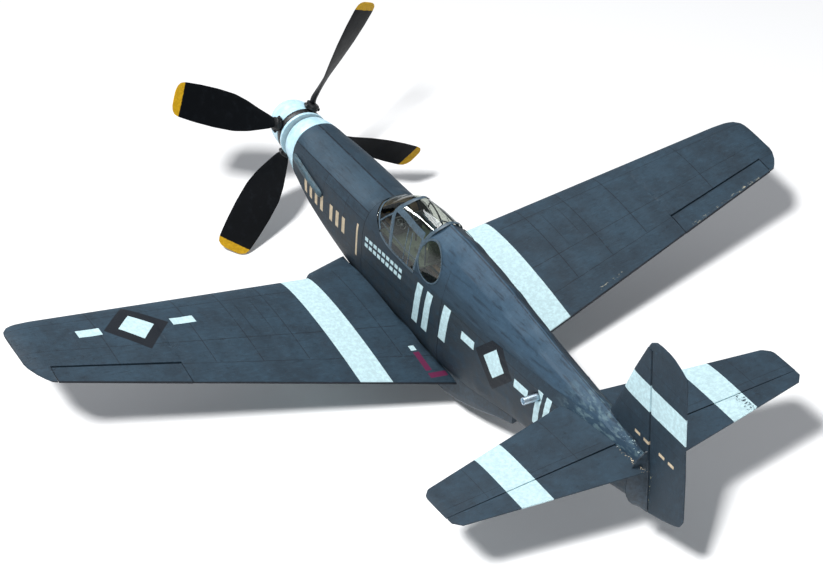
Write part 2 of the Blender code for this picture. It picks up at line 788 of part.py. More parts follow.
def make_nose_former():
    count = 28
    aft = COWL_FRONT + 1.4
    outer = ring(aft, count, -COWL_SKIN - 0.3)
    shift = Vector((0, 1.2 * INCH, 0))
    hole = circle(aft, PLUG_RADIUS + GAP, count)
    loops = [outer, [p + shift for p in outer], [p + shift for p in hole], hole]
    return finish(ring_solid("nose_former", loops), PLY, 0.8)


def make_motor():
    """The rubber loop: round the shaft's hook in front and the peg behind."""
    front_radius = SHAFT_RADIUS + 0.3 + STRAND_RADIUS
    rear_radius = PEG_RADIUS + 0.3 + STRAND_RADIUS
    side_shift = (HOOK_AFT - THRUST_PIVOT_AFT) * math.tan(math.radians(SIDE_THRUST))
    points = []
    for i in range(9):
        turn = math.pi * i / 8
        points.append(at(side_shift, HOOK_AFT - front_radius * math.sin(turn),
                         THRUST_UP - front_radius * math.cos(turn)))
    for i in range(11):
        turn = math.pi * i / 10
        points.append(at(0, PEG_AFT + rear_radius * math.sin(turn), PEG_UP + rear_radius * math.cos(turn)))
    return finish(wire("rubber_motor", points, STRAND_RADIUS, cyclic=True), (0.30, 0.22, 0.12), 0.7)


def make_shaft():
    hook = ((0, 31), (1.4, 31.8), (2.5, 33.6), (2.3, 35.8), (1.2, 37.2), (0, HOOK_AFT), (-1.2, 37.2),
            (-2.3, 35.8), (-2.7, 34.6))
    points = [at(0, -8, THRUST_UP)] + [at(port, aft, THRUST_UP) for port, aft in hook]
    return finish(wire("prop_shaft", points, SHAFT_RADIUS), STEEL, 0.3, 1.0)


def make_peg():
    loops = []
    for port, radius in ((-PEG_HALF_LENGTH, PEG_RADIUS), (PEG_HALF_LENGTH, PEG_RADIUS),
                         (PEG_HALF_LENGTH, PEG_BORE), (-PEG_HALF_LENGTH, PEG_BORE)):
        loops.append([at(port, PEG_AFT + radius * math.cos(a), PEG_UP + radius * math.sin(a))
                      for a in (2 * math.pi * i / 24 for i in range(24))])
    return finish(ring_solid("rear_peg", loops), ALUMINIUM, 0.35, 1.0)


def make_exhaust(name, side):
    loops = []
    for aft, size in ((25.5, 0.45), (27.5, 0.9), (36, 1.0), (48, 1.0), (59.5, 0.9), (61.5, 0.45)):
        up = 4.8 - 0.12 * (aft - 27.8)
        inner = [(half_width_at(aft, up + rise) + GAP, up + rise)
                 for rise in (-2.2 * size, 0, 2.2 * size)]
        outer = [(inner[1][0] + 1.8 * size * out, up + rise * size)
                 for out, rise in ((0.7, 1.9), (1.0, 0.9), (1.0, -0.9), (0.7, -1.9))]
        loops.append([at(side * port, aft, height) for port, height in inner + outer])
    return finish(loft(name, loops), (0.07, 0.14, 0.17), 0.5)


def make_sternpost():
    outline = ((SHELL_REAR + GAP, -15.7), (rudder_line(-15.2) - 0.1, -15.2),
               (rudder_line(11.6) - 0.1, 11.6), (SHELL_REAR + GAP, 11.6))
    return finish(plate("sternpost", outline, 1.5), SLATE, 0.6)


# ---------------------------------------------------------------- build
body_space = fuselage_cutter()

make_cowl()
cabin_afts = [COWL_REAR + GAP, *CABIN_STATIONS, CANOPY_REAR]
lower_skin("cockpit_skin", cabin_afts + [159, 168.5, CABIN_REAR])
tail_skin = lower_skin("tail_skin", stations_between(CABIN_REAR + GAP, SHELL_REAR, 13))
for side in (-1, 1):
    ends = (at(side * 6, PEG_AFT, PEG_UP), at(side * 16, PEG_AFT, PEG_UP))
    boolean(tail_skin, cylinder(f"peg_space_{side}", PEG_RADIUS + GAP, *ends, 20, CUTTERS))

finish(upper_skin("canopy", cabin_afts, GLASS), (0.75, 0.82, 0.80), 0.05, alpha=0.3)
deck_afts = stations_between(CANOPY_REAR + GAP + 0.1, SHELL_REAR, 11.5)
deck = upper_skin("rear_deck", deck_afts, SKIN)
finish(boolean(deck, window_cutter()), DECK_BLUE, 0.6)
make_window("quarter_window_left", 1)
make_window("quarter_window_right", -1)

former("windscreen_former", 101.5, 1.2, COWL_SKIN + 0.3, 5.0)
former("cabin_former", 175.0, 1.2, SKIN + 0.3, 4.0)
former("mid_former", 215.0, 1.2, SKIN + 0.4, 3.6)
former("peg_former", 245.0, 1.2, SKIN + 0.3, 3.4)
former("tail_former", 296.0, 1.2, SKIN + 0.3, 2.8)
for label, side in (("left", 1), ("right", -1)):
    near, far = sorted((8.4 * side, 9.4 * side))
    doubler = block("peg_plate_" + label, at(near, 252.5, PEG_UP - 6), at(far, 266.5, PEG_UP + 6))
    hole = cylinder("peg_plate_space_" + label, PEG_RADIUS + GAP, at(side * 6, PEG_AFT, PEG_UP),
                    at(side * 12, PEG_AFT, PEG_UP), 20, CUTTERS)
    finish(boolean(doubler, hole), PLY, 0.8)

finish(block("wing_joiner", at(-11.5, 122, -34.4), at(11.5, 128, -32.2)), PLY, 0.8)
finish(block("cockpit_floor", at(-11, 110, 5.6), at(11, 149, 6.3)), COCKPIT_GREEN, 0.8)
finish(block("instrument_panel", at(-9.2, 117.2, 6.6), at(9.2, 118.4, 17.2), 0.5), BLACK, 0.6)
SEAT = ((134, 6.6), (134, 9.0), (145.5, 9.0), (147.6, 21), (149, 21), (147.4, 6.6))
finish(plate("pilot_seat", SEAT, 5.2), COCKPIT_GREEN, 0.7)
finish(block("headrest", at(-3.6, 150.6, 21.5), at(3.6, 152.4, 30.5), 0.5), (0.16, 0.10, 0.05), 0.7)
STICK = (at(0, 127, 6.6), at(0, 127.2, 11), at(0, 128.6, 14), at(0, 128.8, 16))
finish(wire("control_stick", STICK, 0.5), BLACK, 0.5)

RADIATOR = ((122, -44.5, 9.5), (127, -47.5, 11), (138, -51.2, 11.5), (150, -52.5, 11.5), (178, -52.5, 11.5),
            (192, -49.8, 11.2), (208, -44.5, 10.8), (224, -38.5, 9.8), (236, -34.2, 8.5))
duct("radiator_duct", RADIATOR, 0.6, SLATE)
CHIN = ((24, -19.6, 6.4), (27, -21.8, 7.4), (38, -26.2, 7.6), (50, -29.8, 6.6), (62, -32.0, 5.0))
duct("chin_intake", CHIN, 0.6, SLATE)
make_exhaust("exhaust_left", 1)
make_exhaust("exhaust_right", -1)

make_wing("wing_left", 1, body_space)
make_wing("wing_right", -1, body_space)
make_aileron("aileron_left", 1)
make_aileron("aileron_right", -1)

make_stabilizer("stabilizer_left", 1, body_space)
make_stabilizer("stabilizer_right", -1, body_space)
inner_right, inner_left = (
    stab_point(ELEVATOR_INNER - GAP - 0.1, side, ELEVATOR_HINGE, 0) for side in (-1, 1))
joiner = finish(cylinder("elevator_joiner", 0.6, inner_right, inner_left, 12), STEEL, 0.3, 1.0)
reach = (inner_left - inner_right) / 2
boolean(tail_skin, cylinder("joiner_space", 1.0, inner_right - reach, inner_left + reach, 14, CUTTERS))
joint_empty("elevator_hinge", (inner_left + inner_right) / 2, reach,
            [make_elevator("elevator_left", 1), make_elevator("elevator_right", -1), joiner])
make_fin(body_space)
joint_empty("rudder_hinge", at(0, rudder_line(0) + 0.15 + RUDDER_RADIUS, 0),
            at(0, rudder_line(1), 1) - at(0, rudder_line(0), 0), [make_rudder()])
make_sternpost()

bush_space = cylinder("bush_space", 1.35, at(0, 5, THRUST_UP), at(0, 36, THRUST_UP), 20, CUTTERS)
nose_block = make_nose_block(bush_space)
joint_empty("nose_plug_slide", at(0, PLUG_FRONT, THRUST_UP), Vector((0, -1, 0)), [nose_block])
make_nose_former()
bush = turned("thrust_bush", ((9.0, 1.2), (29.8, 1.2), (29.8, 0.6), (9.0, 0.6)), 20)
finish(bush, (0.70, 0.55, 0.25), 0.3, 1.0)
washers = []
for label, aft in (("front", 7.3), ("rear", 8.1)):
    profile = ((aft, 2.6), (aft + 0.5, 2.6), (aft + 0.5, 0.65), (aft, 0.65))
    washers.append(finish(turned(label + "_washer", profile, 20), STEEL, 0.3, 1.0))
backplate = turned("spinner_backplate", ((7.3, 13.9), (9.1, 13.9), (9.1, 3.4), (7.3, 3.4)))
finish(backplate, PALE, 0.4)
blades = [make_blade(f"blade_{number}", degrees) for number, degrees in enumerate(BLADE_ANGLES, 1)]
turning = [*make_spinner(), backplate, *make_hub(), make_shaft(), *washers, *blades]
thrust_line = joint_empty("thrust_line", at(0, THRUST_PIVOT_AFT, THRUST_UP), Vector((0, -1, 0)),
                          [bush, bush_space, *turning])
pivot = Matrix.Translation(thrust_line.location)
side_turn = Matrix.Rotation(math.radians(-SIDE_THRUST), 4, "Z")
thrust_line.matrix_world = pivot @ side_turn @ pivot.inverted() @ thrust_line.matrix_world
make_motor()
joint_empty("peg_slide", at(0, PEG_AFT, PEG_UP), Vector((1, 0, 0)), [make_peg()])
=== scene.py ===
"""Looks of the rubber-powered flying scale model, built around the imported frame.

Places are written in inches of the full-size aeroplane, as in the frame's source: port, aft of the
propeller's disc, and up from the level datum line. INCH turns them into the model's metres. Places on
the body are written as (aft, angle), the angle in degrees round AXIS_UP from the port side, 90 on top.
"""

import json
import math

import bmesh
import bpy
import numpy as np
from mathutils import Matrix, Vector
from mathutils.bvhtree import BVHTree


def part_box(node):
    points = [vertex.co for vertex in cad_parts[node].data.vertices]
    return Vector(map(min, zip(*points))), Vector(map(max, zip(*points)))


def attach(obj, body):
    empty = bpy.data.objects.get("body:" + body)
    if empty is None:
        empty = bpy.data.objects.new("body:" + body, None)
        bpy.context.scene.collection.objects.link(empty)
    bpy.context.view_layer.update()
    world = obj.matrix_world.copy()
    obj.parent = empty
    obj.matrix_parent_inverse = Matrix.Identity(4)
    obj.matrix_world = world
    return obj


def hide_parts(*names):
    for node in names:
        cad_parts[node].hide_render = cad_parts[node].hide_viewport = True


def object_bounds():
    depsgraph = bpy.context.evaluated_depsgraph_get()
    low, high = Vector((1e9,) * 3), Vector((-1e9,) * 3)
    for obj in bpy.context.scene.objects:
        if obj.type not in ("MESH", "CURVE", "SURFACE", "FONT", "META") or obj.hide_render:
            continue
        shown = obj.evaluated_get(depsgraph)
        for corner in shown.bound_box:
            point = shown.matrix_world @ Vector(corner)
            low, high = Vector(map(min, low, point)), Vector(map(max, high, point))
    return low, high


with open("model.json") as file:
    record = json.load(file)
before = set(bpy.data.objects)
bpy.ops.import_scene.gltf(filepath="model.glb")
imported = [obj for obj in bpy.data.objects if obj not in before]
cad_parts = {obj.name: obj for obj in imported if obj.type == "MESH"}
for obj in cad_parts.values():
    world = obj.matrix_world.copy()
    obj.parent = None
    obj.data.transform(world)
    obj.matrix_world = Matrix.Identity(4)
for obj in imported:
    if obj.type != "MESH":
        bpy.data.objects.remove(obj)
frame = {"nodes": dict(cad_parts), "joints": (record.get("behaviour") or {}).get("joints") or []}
CAD_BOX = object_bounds()

INCH = 0.0254 / 16
ORIGIN = np.array([0.0, 164.0, -52.5])  # the row frame's zero, in inches

# ---------------- colours, linear
SLATE = (0.0175, 0.0315, 0.046)
SLATE_LIGHT = (0.034, 0.072, 0.108)
SLATE_WARM = (0.0235, 0.027, 0.030)
DECK_BLUE = (0.030, 0.062, 0.098)
PALE = (0.50, 0.68, 0.72)
CREAM = (0.56, 0.46, 0.32)
MAROON = (0.105, 0.013, 0.050)
# dark ink for drawn lines and marks; the same colour paints shade on the cowl's and deck's starboard sides,
# in the deck's folds and in the dope's creases
INK_AND_SHADE = (0.006, 0.009, 0.014)
BLACK = (0.0030, 0.0038, 0.0050)
YELLOW = (0.68, 0.395, 0.018)
BALSA = (0.60, 0.43, 0.25)
PLY = (0.47, 0.30, 0.15)
GREEN = (0.085, 0.115, 0.082)


# ---------------- shader nodes
class Value:
    """A number that the material works out at each point. It adds and multiplies like any number."""

    def __init__(self, mat, socket):
        self.mat, self.socket = mat, socket

    def __add__(self, other):
        return self.mat.math("ADD", self, other)

    def __sub__(self, other):
        return self.mat.math("SUBTRACT", self, other)

    def __rsub__(self, other):
        return self.mat.math("SUBTRACT", other, self)

    def __mul__(self, other):
        return self.mat.math("MULTIPLY", self, other)

    def __truediv__(self, other):
        return self.mat.math("DIVIDE", self, other)

    def __abs__(self):
        return self.mat.math("ABSOLUTE", self)

    __radd__ = __add__
    __rmul__ = __mul__

    def ramp(self, low, high):
        """0 below low, 1 above high, smooth between; low may be above high."""
        start, end = (0.0, 1.0) if low < high else (1.0, 0.0)
        inputs = {"Value": self, "From Min": min(low, high), "From Max": max(low, high),
                  "To Min": start, "To Max": end}
        node = self.mat.add("ShaderNodeMapRange", inputs, interpolation_type="SMOOTHSTEP")
        return Value(self.mat, node.outputs["Result"])

    def between(self, low, high, soft=0.12):
        """1 from low to high."""
        return self.ramp(low - soft, low + soft) * self.ramp(high + soft, high - soft)

    def line(self, centre, half_width, soft=0.12):
        """1 on the line where the value is centre."""
        return abs(self - centre).ramp(half_width + soft, max(half_width - soft, 0.0))


def union(*masks):
    """1 where any mask is."""
    total = masks[0]
    for mask in masks[1:]:
        total = total.mat.math("MAXIMUM", total, mask)
    return total


def rgba(colour):
    return (*colour, 1) if isinstance(colour, tuple) else colour


class Shader:
    """A material's node tree, with short calls for what every material here needs. colour is the
    paint so far, an (r, g, b) or a socket."""

    def __init__(self, name, colour=None):
        self.colour = colour
        self.material = bpy.data.materials.new(name)
        self.material.use_nodes = True
        self.tree = self.material.node_tree
        self.main = self.tree.nodes["Principled BSDF"]
        place = self.add("ShaderNodeTexCoord").outputs["Object"]
        scaled = self.add("ShaderNodeVectorMath", {0: place, "Scale": 1 / INCH}, operation="SCALE")
        moved = self.add("ShaderNodeVectorMath", {0: scaled.outputs[0], 1: tuple(ORIGIN)}, operation="ADD")
        self.inches = moved.outputs[0]
        parts = self.add("ShaderNodeSeparateXYZ", {0: self.inches})
        self.port, self.aft, self.up = (Value(self, output) for output in parts.outputs)

    def add(self, kind, inputs=None, **settings):
        """A node with its settings, and its inputs by name or number as numbers or links."""
        node = self.tree.nodes.new(kind)
        for key, value in settings.items():
            setattr(node, key, value)
        for key, value in (inputs or {}).items():
            self.link(value, node.inputs[key])
        return node

    def link(self, source, target):
        if isinstance(source, Value):
            source = source.socket
        if hasattr(source, "links"):
            self.tree.links.new(source, target)
        else:
            target.default_value = source

    def math(self, operation, *values, clamp=False):
        node = self.add("ShaderNodeMath", dict(enumerate(values)), operation=operation, use_clamp=clamp)
        return Value(self, node.outputs[0])

    def mix(self, share, first, second):
        """A colour between two colours; a colour is an (r, g, b) or a socket."""
        inputs = {"Factor": share, 6: rgba(first), 7: rgba(second)}
        return self.add("ShaderNodeMix", inputs, data_type="RGBA").outputs[2]

    def noise(self, scale, detail=4.0, stretch=(1, 1, 1), roughness=0.55, seed=0.0):
        """Noise with about scale features an inch."""
        source = self.inches
        if stretch != (1, 1, 1) or seed:
            shift = (seed, seed * 1.7, -seed)
            moved = self.add("ShaderNodeMapping", {"Vector": source, "Scale": stretch, "Location": shift})
            source = moved.outputs[0]
        inputs = {"Vector": source, "Scale": scale, "Detail": detail, "Roughness": roughness}
        return Value(self, self.add("ShaderNodeTexNoise", inputs).outputs["Fac"])

    def bump(self, *heights, distance=0.00025):
        """Adds the (height, share) pairs and sends the sum to the surface's normal."""
        total = None
        for height, share in heights:
            part = height * share
            total = part if total is None else total + part
        node = self.add("ShaderNodeBump", {"Distance": distance, "Strength": 1.0, "Height": total})
        self.link(node.outputs[0], self.main.inputs["Normal"])

    def cover(self, share, tint):
        """Paints over the colour so far."""
        self.colour = self.mix(share, self.colour, tint)

    def finish(self, roughness, metallic=0.0, coat=0.0, sheen=0.5):
        inputs = {"Base Color": rgba(self.colour), "Roughness": roughness, "Metallic": metallic,
                  "Specular IOR Level": sheen, "Coat Weight": coat, "Coat Roughness": 0.3}
        for name, value in inputs.items():
            self.link(value, self.main.inputs[name])
        return self.material


def facing_up(mat):
    normal = mat.add("ShaderNodeNewGeometry").outputs["Normal"]
    return Value(mat, mat.add("ShaderNodeSeparateXYZ", {0: normal}).outputs["Z"])


def doped_paint(mat, base, light, streak=(1, 0.25, 1)):
    """Hand-painted tissue: clouded, brushed, lighter on top with painted light from the sky, with fine
    creases in the dope darkened by painted shade.
    """
    clouds = mat.noise(0.055, 3, seed=3)
    patches = mat.noise(0.34, 6, roughness=0.70, seed=9)
    brush = mat.noise(0.9, 4, stretch=streak, roughness=0.6, seed=17)
    grain = mat.noise(3.4, 3, roughness=0.7)
    # painted light: faces that look up are made lighter and bluer, as if lit from the sky
    painted_top_light = facing_up(mat).ramp(0.35, 1.0) * clouds.ramp(0.30, 0.72)
    mat.colour = mat.mix(painted_top_light * 0.40, base, light)
    mat.cover(patches.ramp(0.50, 0.80) * 0.50, light)
    dark = tuple(0.45 * part for part in base)
    mat.cover(patches.ramp(0.49, 0.24) * 0.55, dark)
    mat.cover(brush.ramp(0.57, 0.78) * 0.40, light)
    mat.cover(grain.ramp(0.50, 0.80) * 0.40, dark)
    creases = union(*(mat.noise(scale, 5, stretch=streak, roughness=0.55, seed=seed).line(0.5, 0.004, 0.004)
                      for scale, seed in ((0.30, 51), (0.55, 63))))
    creases = creases * mat.noise(0.16, 2, seed=71).ramp(0.42, 0.60)
    # painted shade: the creases are darkened
    mat.cover(creases * 0.55, INK_AND_SHADE)
    mat.bump((grain, 0.30), (brush, 0.40), (patches, 0.30), (creases, -0.25), distance=0.00022)
    return 0.50 + patches * 0.16


def ink_lines(mat, mask, strength=0.8):
    """Panel lines drawn by hand: the ink is uneven."""
    uneven = mat.noise(0.7, 3, seed=31).ramp(0.25, 0.48)
    mat.cover(mask * uneven * strength, INK_AND_SHADE)


def pale_paint(mat, mask, tint=PALE):
    """A pale marking brushed over the blue: a little mottled, its edge slightly rough."""
    rough = (mat.noise(2.2, 3, seed=41) - 0.5) * 0.5
    mask = (mask + rough).ramp(0.40, 0.60)
    low = tuple(0.80 * part for part in tint)
    mottle = mat.mix(mat.noise(0.55, 6, roughness=0.7, seed=5).ramp(0.40, 0.66), low, tint)
    specks = mat.noise(2.6, 2, seed=77).ramp(0.76, 0.80)
    mottle = mat.mix(specks * 0.5, mottle, SLATE_LIGHT)
    mat.cover(mask, mottle)


def chips(mat, region, amount=0.66, tint=CREAM, seed=0.0):
    """Bare patches where the paint has come away, inside a region."""
    worn = mat.noise(0.75, 8, roughness=0.72, seed=seed) + (region - 1.0) * 0.6
    mat.cover(worn.ramp(amount - 0.012, amount + 0.012), tint)


def brushed(mat, region, light, along=(1, 0.10, 1)):
    """Long strokes of a brush, dark and light, inside a region."""
    for seed, low, high, amount, tint in ((29, 0.53, 0.68, 0.50, (0.008, 0.015, 0.023)),
                                          (37, 0.55, 0.72, 0.45, light)):
        strokes = mat.noise(1.1, 6, stretch=along, roughness=0.62, seed=seed)
        strokes = strokes.ramp(low, high)
        mat.cover(strokes * region * amount, tint)


def scuffed(mat, region):
    """Paint rubbed thin and pale inside a region."""
    rubbed = mat.noise(0.5, 4, stretch=(1, 0.4, 1), roughness=0.55, seed=41).ramp(0.46, 0.66)
    mat.cover(rubbed * region * 0.45, (0.17, 0.26, 0.28))


def rectangle(across, along, low, high, soft=0.15):
    """A mask over low..high, each an (across, along) pair."""
    return across.between(low[0], high[0], soft) * along.between(low[1], high[1], soft)


def lozenge(across, along, centre, half):
    """A diamond mask."""
    reach = abs(across - centre[0]) / half + abs(along - centre[1]) / half
    return reach.ramp(1.02, 0.98)


def plain_mark(mat, across, along, centre, size):
    """A generic mark: a dark diamond that holds a smaller pale one, and a pale dash on each side."""
    mat.cover(lozenge(across, along, centre, size), INK_AND_SHADE)
    pale_paint(mat, lozenge(across, along, centre, 0.55 * size))
    dashes = [rectangle(across, along,
                        (centre[0] + side * 1.45 * size - 0.36 * size, centre[1] - 0.15 * size),
                        (centre[0] + side * 1.45 * size + 0.36 * size, centre[1] + 0.15 * size))
              for side in (-1, 1)]
    pale_paint(mat, union(*dashes))


def polar_angle(mat):
    """The angle round the body in degrees, 0 at the sides and 90 on top, as the skins are built."""
    rise = mat.up - AXIS_UP
    turn = mat.math("ARCTAN2", rise, abs(mat.port))
    return turn * (180 / math.pi)


# ---------------- materials
AXIS_UP = -2.0  # height of the line that the body's angles turn about


def body_material():
    """Cowl, cockpit sides and tail: slate paint, drawn panel lines and plain marks."""
    mat = Shader("body_paint")
    roughness = doped_paint(mat, SLATE, SLATE_LIGHT)
    angle = polar_angle(mat)
    top_panel = angle.ramp(46, 49) * mat.aft.ramp(106, 100)
    mat.cover(top_panel * 0.30, SLATE_LIGHT)
    side = angle.ramp(34, 22) * mat.noise(0.2, 3, seed=2).ramp(0.35, 0.6)
    mat.cover(side * 0.45, SLATE_WARM)
    on_cowl = mat.aft.ramp(104.2, 103.6)
    brushed(mat, on_cowl * angle.ramp(20, 40), (0.045, 0.085, 0.118))
    # painted shade: the cowl's starboard side, right of the ridge line, is darkened
    starboard_shade = on_cowl * angle.ramp(40, 50) * mat.port.ramp(0.2, -0.6)
    mat.cover(starboard_shade * 0.30, INK_AND_SHADE)
    tail = mat.aft.ramp(270, 290) * mat.up.ramp(3.5, 6.5)
    mat.cover(tail * 0.75, DECK_BLUE)
    scuffed(mat, tail)
    rings = union(*(mat.aft.line(at_aft, 0.16) for at_aft in (61.5, 84.0, 104.0)))
    below = angle.ramp(50, 46)
    lines = union(
        mat.port.line(0.0, 0.5, 0.2) * on_cowl * angle.ramp(60, 70),
        angle.line(47.5, 0.8, 0.5) * on_cowl,
        angle.line(33.0, 0.4, 0.3) * mat.aft.between(62, 103.8),
        mat.up.line(-12.0, 0.16) * mat.aft.between(40, 176),
        rings * below,
        mat.aft.line(178.0, 0.18) * mat.up.ramp(8, 6),
        mat.up.line(4.6, 0.14) * mat.aft.between(178, 300))
    ink_lines(mat, lines, 0.9)
    letters = union(*(
        rectangle(mat.aft, mat.up, (start, -8.8), (start + 3.0, 0.6))
        for start in (40, 46.5, 53, 59.5, 70, 76.5, 83)))
    pale_paint(mat, letters, CREAM)
    stripe = rectangle(mat.aft, mat.up, (97.8, -14.3), (99.4, 5.0))
    pale_paint(mat, stripe, CREAM)
    tally = [rectangle(mat.aft, mat.up, (107 + 4.0 * column, row), (109.9 + 4.0 * column, row + 2.2))
             for column in range(9) for row in (-3.4, 0.2)]
    pale_paint(mat, union(*tally))
    slant = mat.aft + mat.up * -0.12
    blocks = union(*(rectangle(slant, mat.up, (start, low), (end, high)) for start, end, low, high in (
        (156, 161, -20, 4), (165, 170, -20, 4), (180, 186, -16, 5), (260, 264, -16, 5), (267, 271, -16, 5))))
    pale_paint(mat, blocks)
    plain_mark(mat, mat.aft, mat.up, (225.5, -2.4), 15.5)
    chips(mat, mat.aft.ramp(290, 336), 0.635, seed=4)
    chips(mat, on_cowl, 0.745, PALE, seed=13)
    return mat.finish(roughness, sheen=0.22)


def deck_material():
    mat = Shader("deck_paint")
    roughness = doped_paint(mat, DECK_BLUE, (0.050, 0.102, 0.152), streak=(1, 0.2, 1))
    angle = polar_angle(mat)
    low = angle.ramp(66, 44)
    mat.cover(low * 0.75, SLATE)
    folds = mat.noise(0.62, 3, stretch=(1, 0.09, 1), roughness=0.5, seed=23)
    # painted shade in the fold hollows
    mat.cover(folds.ramp(0.52, 0.70) * 0.48, INK_AND_SHADE)
    # painted shade: the deck's starboard side is darkened, its edge ragged by the folds
    starboard_shade = (mat.port + folds * 1.5).ramp(0.6, -2.5)
    mat.cover(starboard_shade * 0.70, INK_AND_SHADE)
    # painted highlight on the fold crests
    mat.cover(folds.ramp(0.42, 0.28) * 0.16, (0.07, 0.13, 0.18))
    scuffed(mat, mat.aft.ramp(268, 300))
    lines = union(mat.aft.line(178.0, 0.18) * angle.ramp(70, 60),
                         angle.line(88.6, 0.5, 0.4))
    ink_lines(mat, lines, 0.7)
    chips(mat, mat.aft.ramp(262, 330), 0.60, (0.45, 0.58, 0.58), seed=8)
    return mat.finish(roughness, sheen=0.22)


def wing_material():
    mat = Shader("wing_paint")
    roughness = doped_paint(mat, SLATE, SLATE_LIGHT, streak=(0.2, 1, 1))
    brushed(mat, 0.7, (0.040, 0.080, 0.112), (0.08, 1, 1))
    span = abs(mat.port)
    leading = 92.6 + span * 0.048
    trailing = 196.3 - span * 0.217
    chord = trailing - leading
    share = (mat.aft - leading) / chord
    joints = union(*(span.line(at_span, 0.24) for at_span in (31, 80, 104, 128, 176)))
    lines = union(
        share.line(0.155, 0.0028, 0.0012) * span.ramp(63, 66),
        share.line(0.56, 0.0028, 0.0012) * span.ramp(21, 24),
        joints * share.between(0.02, 0.79, 0.01),
        span.line(145.9, 0.22) * share.ramp(0.79, 0.81),
        span.line(210.1, 0.20) * share.ramp(0.79, 0.81),
        share.line(0.795, 0.0024, 0.0016),
        rectangle(span, share, (88, 0.20), (98, 0.50), 0.1),
    )
    inside = rectangle(span, share, (88.4, 0.204), (97.6, 0.496), 0.1)
    lines = mat.math("SUBTRACT", lines, inside, clamp=True)
    ink_lines(mat, lines, 0.75)
    pale_paint(mat, span.between(45.6, 62.4))
    over = facing_up(mat).ramp(0.0, 0.2)
    left = mat.port.ramp(0, 1)
    unmarked = mat.colour
    plain_mark(mat, mat.port, mat.aft, (155.5, 121.0), 17.5)
    mat.colour = mat.mix(over * left, unmarked, mat.colour)
    bracket = union(
        rectangle(mat.port, mat.aft, (20.8, 168.5), (24.2, 182)),
        rectangle(mat.port, mat.aft, (14.0, 183.6), (24.2, 187.0)))
    mat.cover(bracket * over * left, MAROON)
    box = rectangle(mat.port, mat.aft, (21.2, 163.8), (24.4, 167.3))
    pale_paint(mat, box * over * left)
    outer_edge = share.ramp(0.88, 0.97) * mat.port.between(-206, -148, 6)
    inner_edge = share.between(0.935, 0.972, 0.01) * mat.port.between(-104, -80, 3)
    streaks = mat.noise(0.75, 6, stretch=(0.4, 1, 1), roughness=0.72, seed=21)
    worn = streaks + (union(outer_edge, inner_edge) - 1.0) * 0.6
    mat.cover(worn.ramp(0.54, 0.60) * 0.7, (0.30, 0.30, 0.24))
    mat.cover(worn.ramp(0.63, 0.65), CREAM)
    mat.cover(share.ramp(0.985, 0.995), INK_AND_SHADE)
    return mat.finish(roughness, sheen=0.22)


def tail_material():
    mat = Shader("tail_paint")
    roughness = doped_paint(mat, SLATE, SLATE_LIGHT, streak=(0.25, 1, 1))
    span = abs(mat.port)
    lines = union(span.line(26, 0.14) * mat.aft.ramp(317, 316),
                         span.line(74, 0.14) * mat.aft.ramp(317, 316),
                         mat.aft.line(312.5, 0.14) * span.ramp(10, 12))
    ink_lines(mat, lines, 0.75)
    pale_paint(mat, span.between(49.8, 65.2))
    torn = mat.port.between(-70, -58, 3) * mat.aft.ramp(309, 318)
    chips(mat, torn, 0.55, SLATE, seed=2)
    root = span.ramp(16, 5) * mat.aft.ramp(292, 325)
    chips(mat, root, 0.56, seed=6)
    return mat.finish(roughness, sheen=0.22)


def fin_material():
    mat = Shader("fin_paint")
    roughness = doped_paint(mat, SLATE, SLATE_LIGHT, streak=(1, 1, 0.25))
    slope = (mat.aft - 311.7) * 0.046
    level = mat.up + slope
    lines = union(level.line(30, 0.14), level.line(60, 0.14))
    ink_lines(mat, lines, 0.7)
    pale_paint(mat, level.between(38.5, 52))
    dashes = union(*(
        rectangle(mat.aft, level, (start, 21.4), (start + 4.2, 23.0)) for start in (324, 331, 343, 350)))
    pale_paint(mat, dashes, CREAM)
    base = mat.up.ramp(17, 6) * mat.aft.between(326, 343, 3)
    chips(mat, base, 0.60, (0.72, 0.68, 0.42), seed=11)
    return mat.finish(roughness, sheen=0.22)


def pale_material(name, grey_before=None):
    """Pale enamel; the nose block's front face, before an aft place, is painted grey: painted shade in the
    gap behind the spinner's backplate.
    """
    mat = Shader(name)
    mottle = mat.noise(0.35, 5, seed=6)
    mat.colour = mat.mix(mottle.ramp(0.35, 0.70), (0.36, 0.56, 0.66), (0.47, 0.68, 0.76))
    grime = mat.noise(1.4, 6, roughness=0.7, seed=2).ramp(0.66, 0.80)
    mat.cover(grime * 0.35, (0.30, 0.36, 0.38))
    if grey_before:
        # painted shade: the nose block's front face turns grey
        mat.cover(mat.aft.ramp(grey_before + 0.1, grey_before - 0.1), (0.13, 0.14, 0.14))
    mat.bump((mottle, 0.5), (mat.noise(5, 2), 0.12), distance=0.00015)
    return mat.finish(0.28 + mottle * 0.2, coat=0.25)


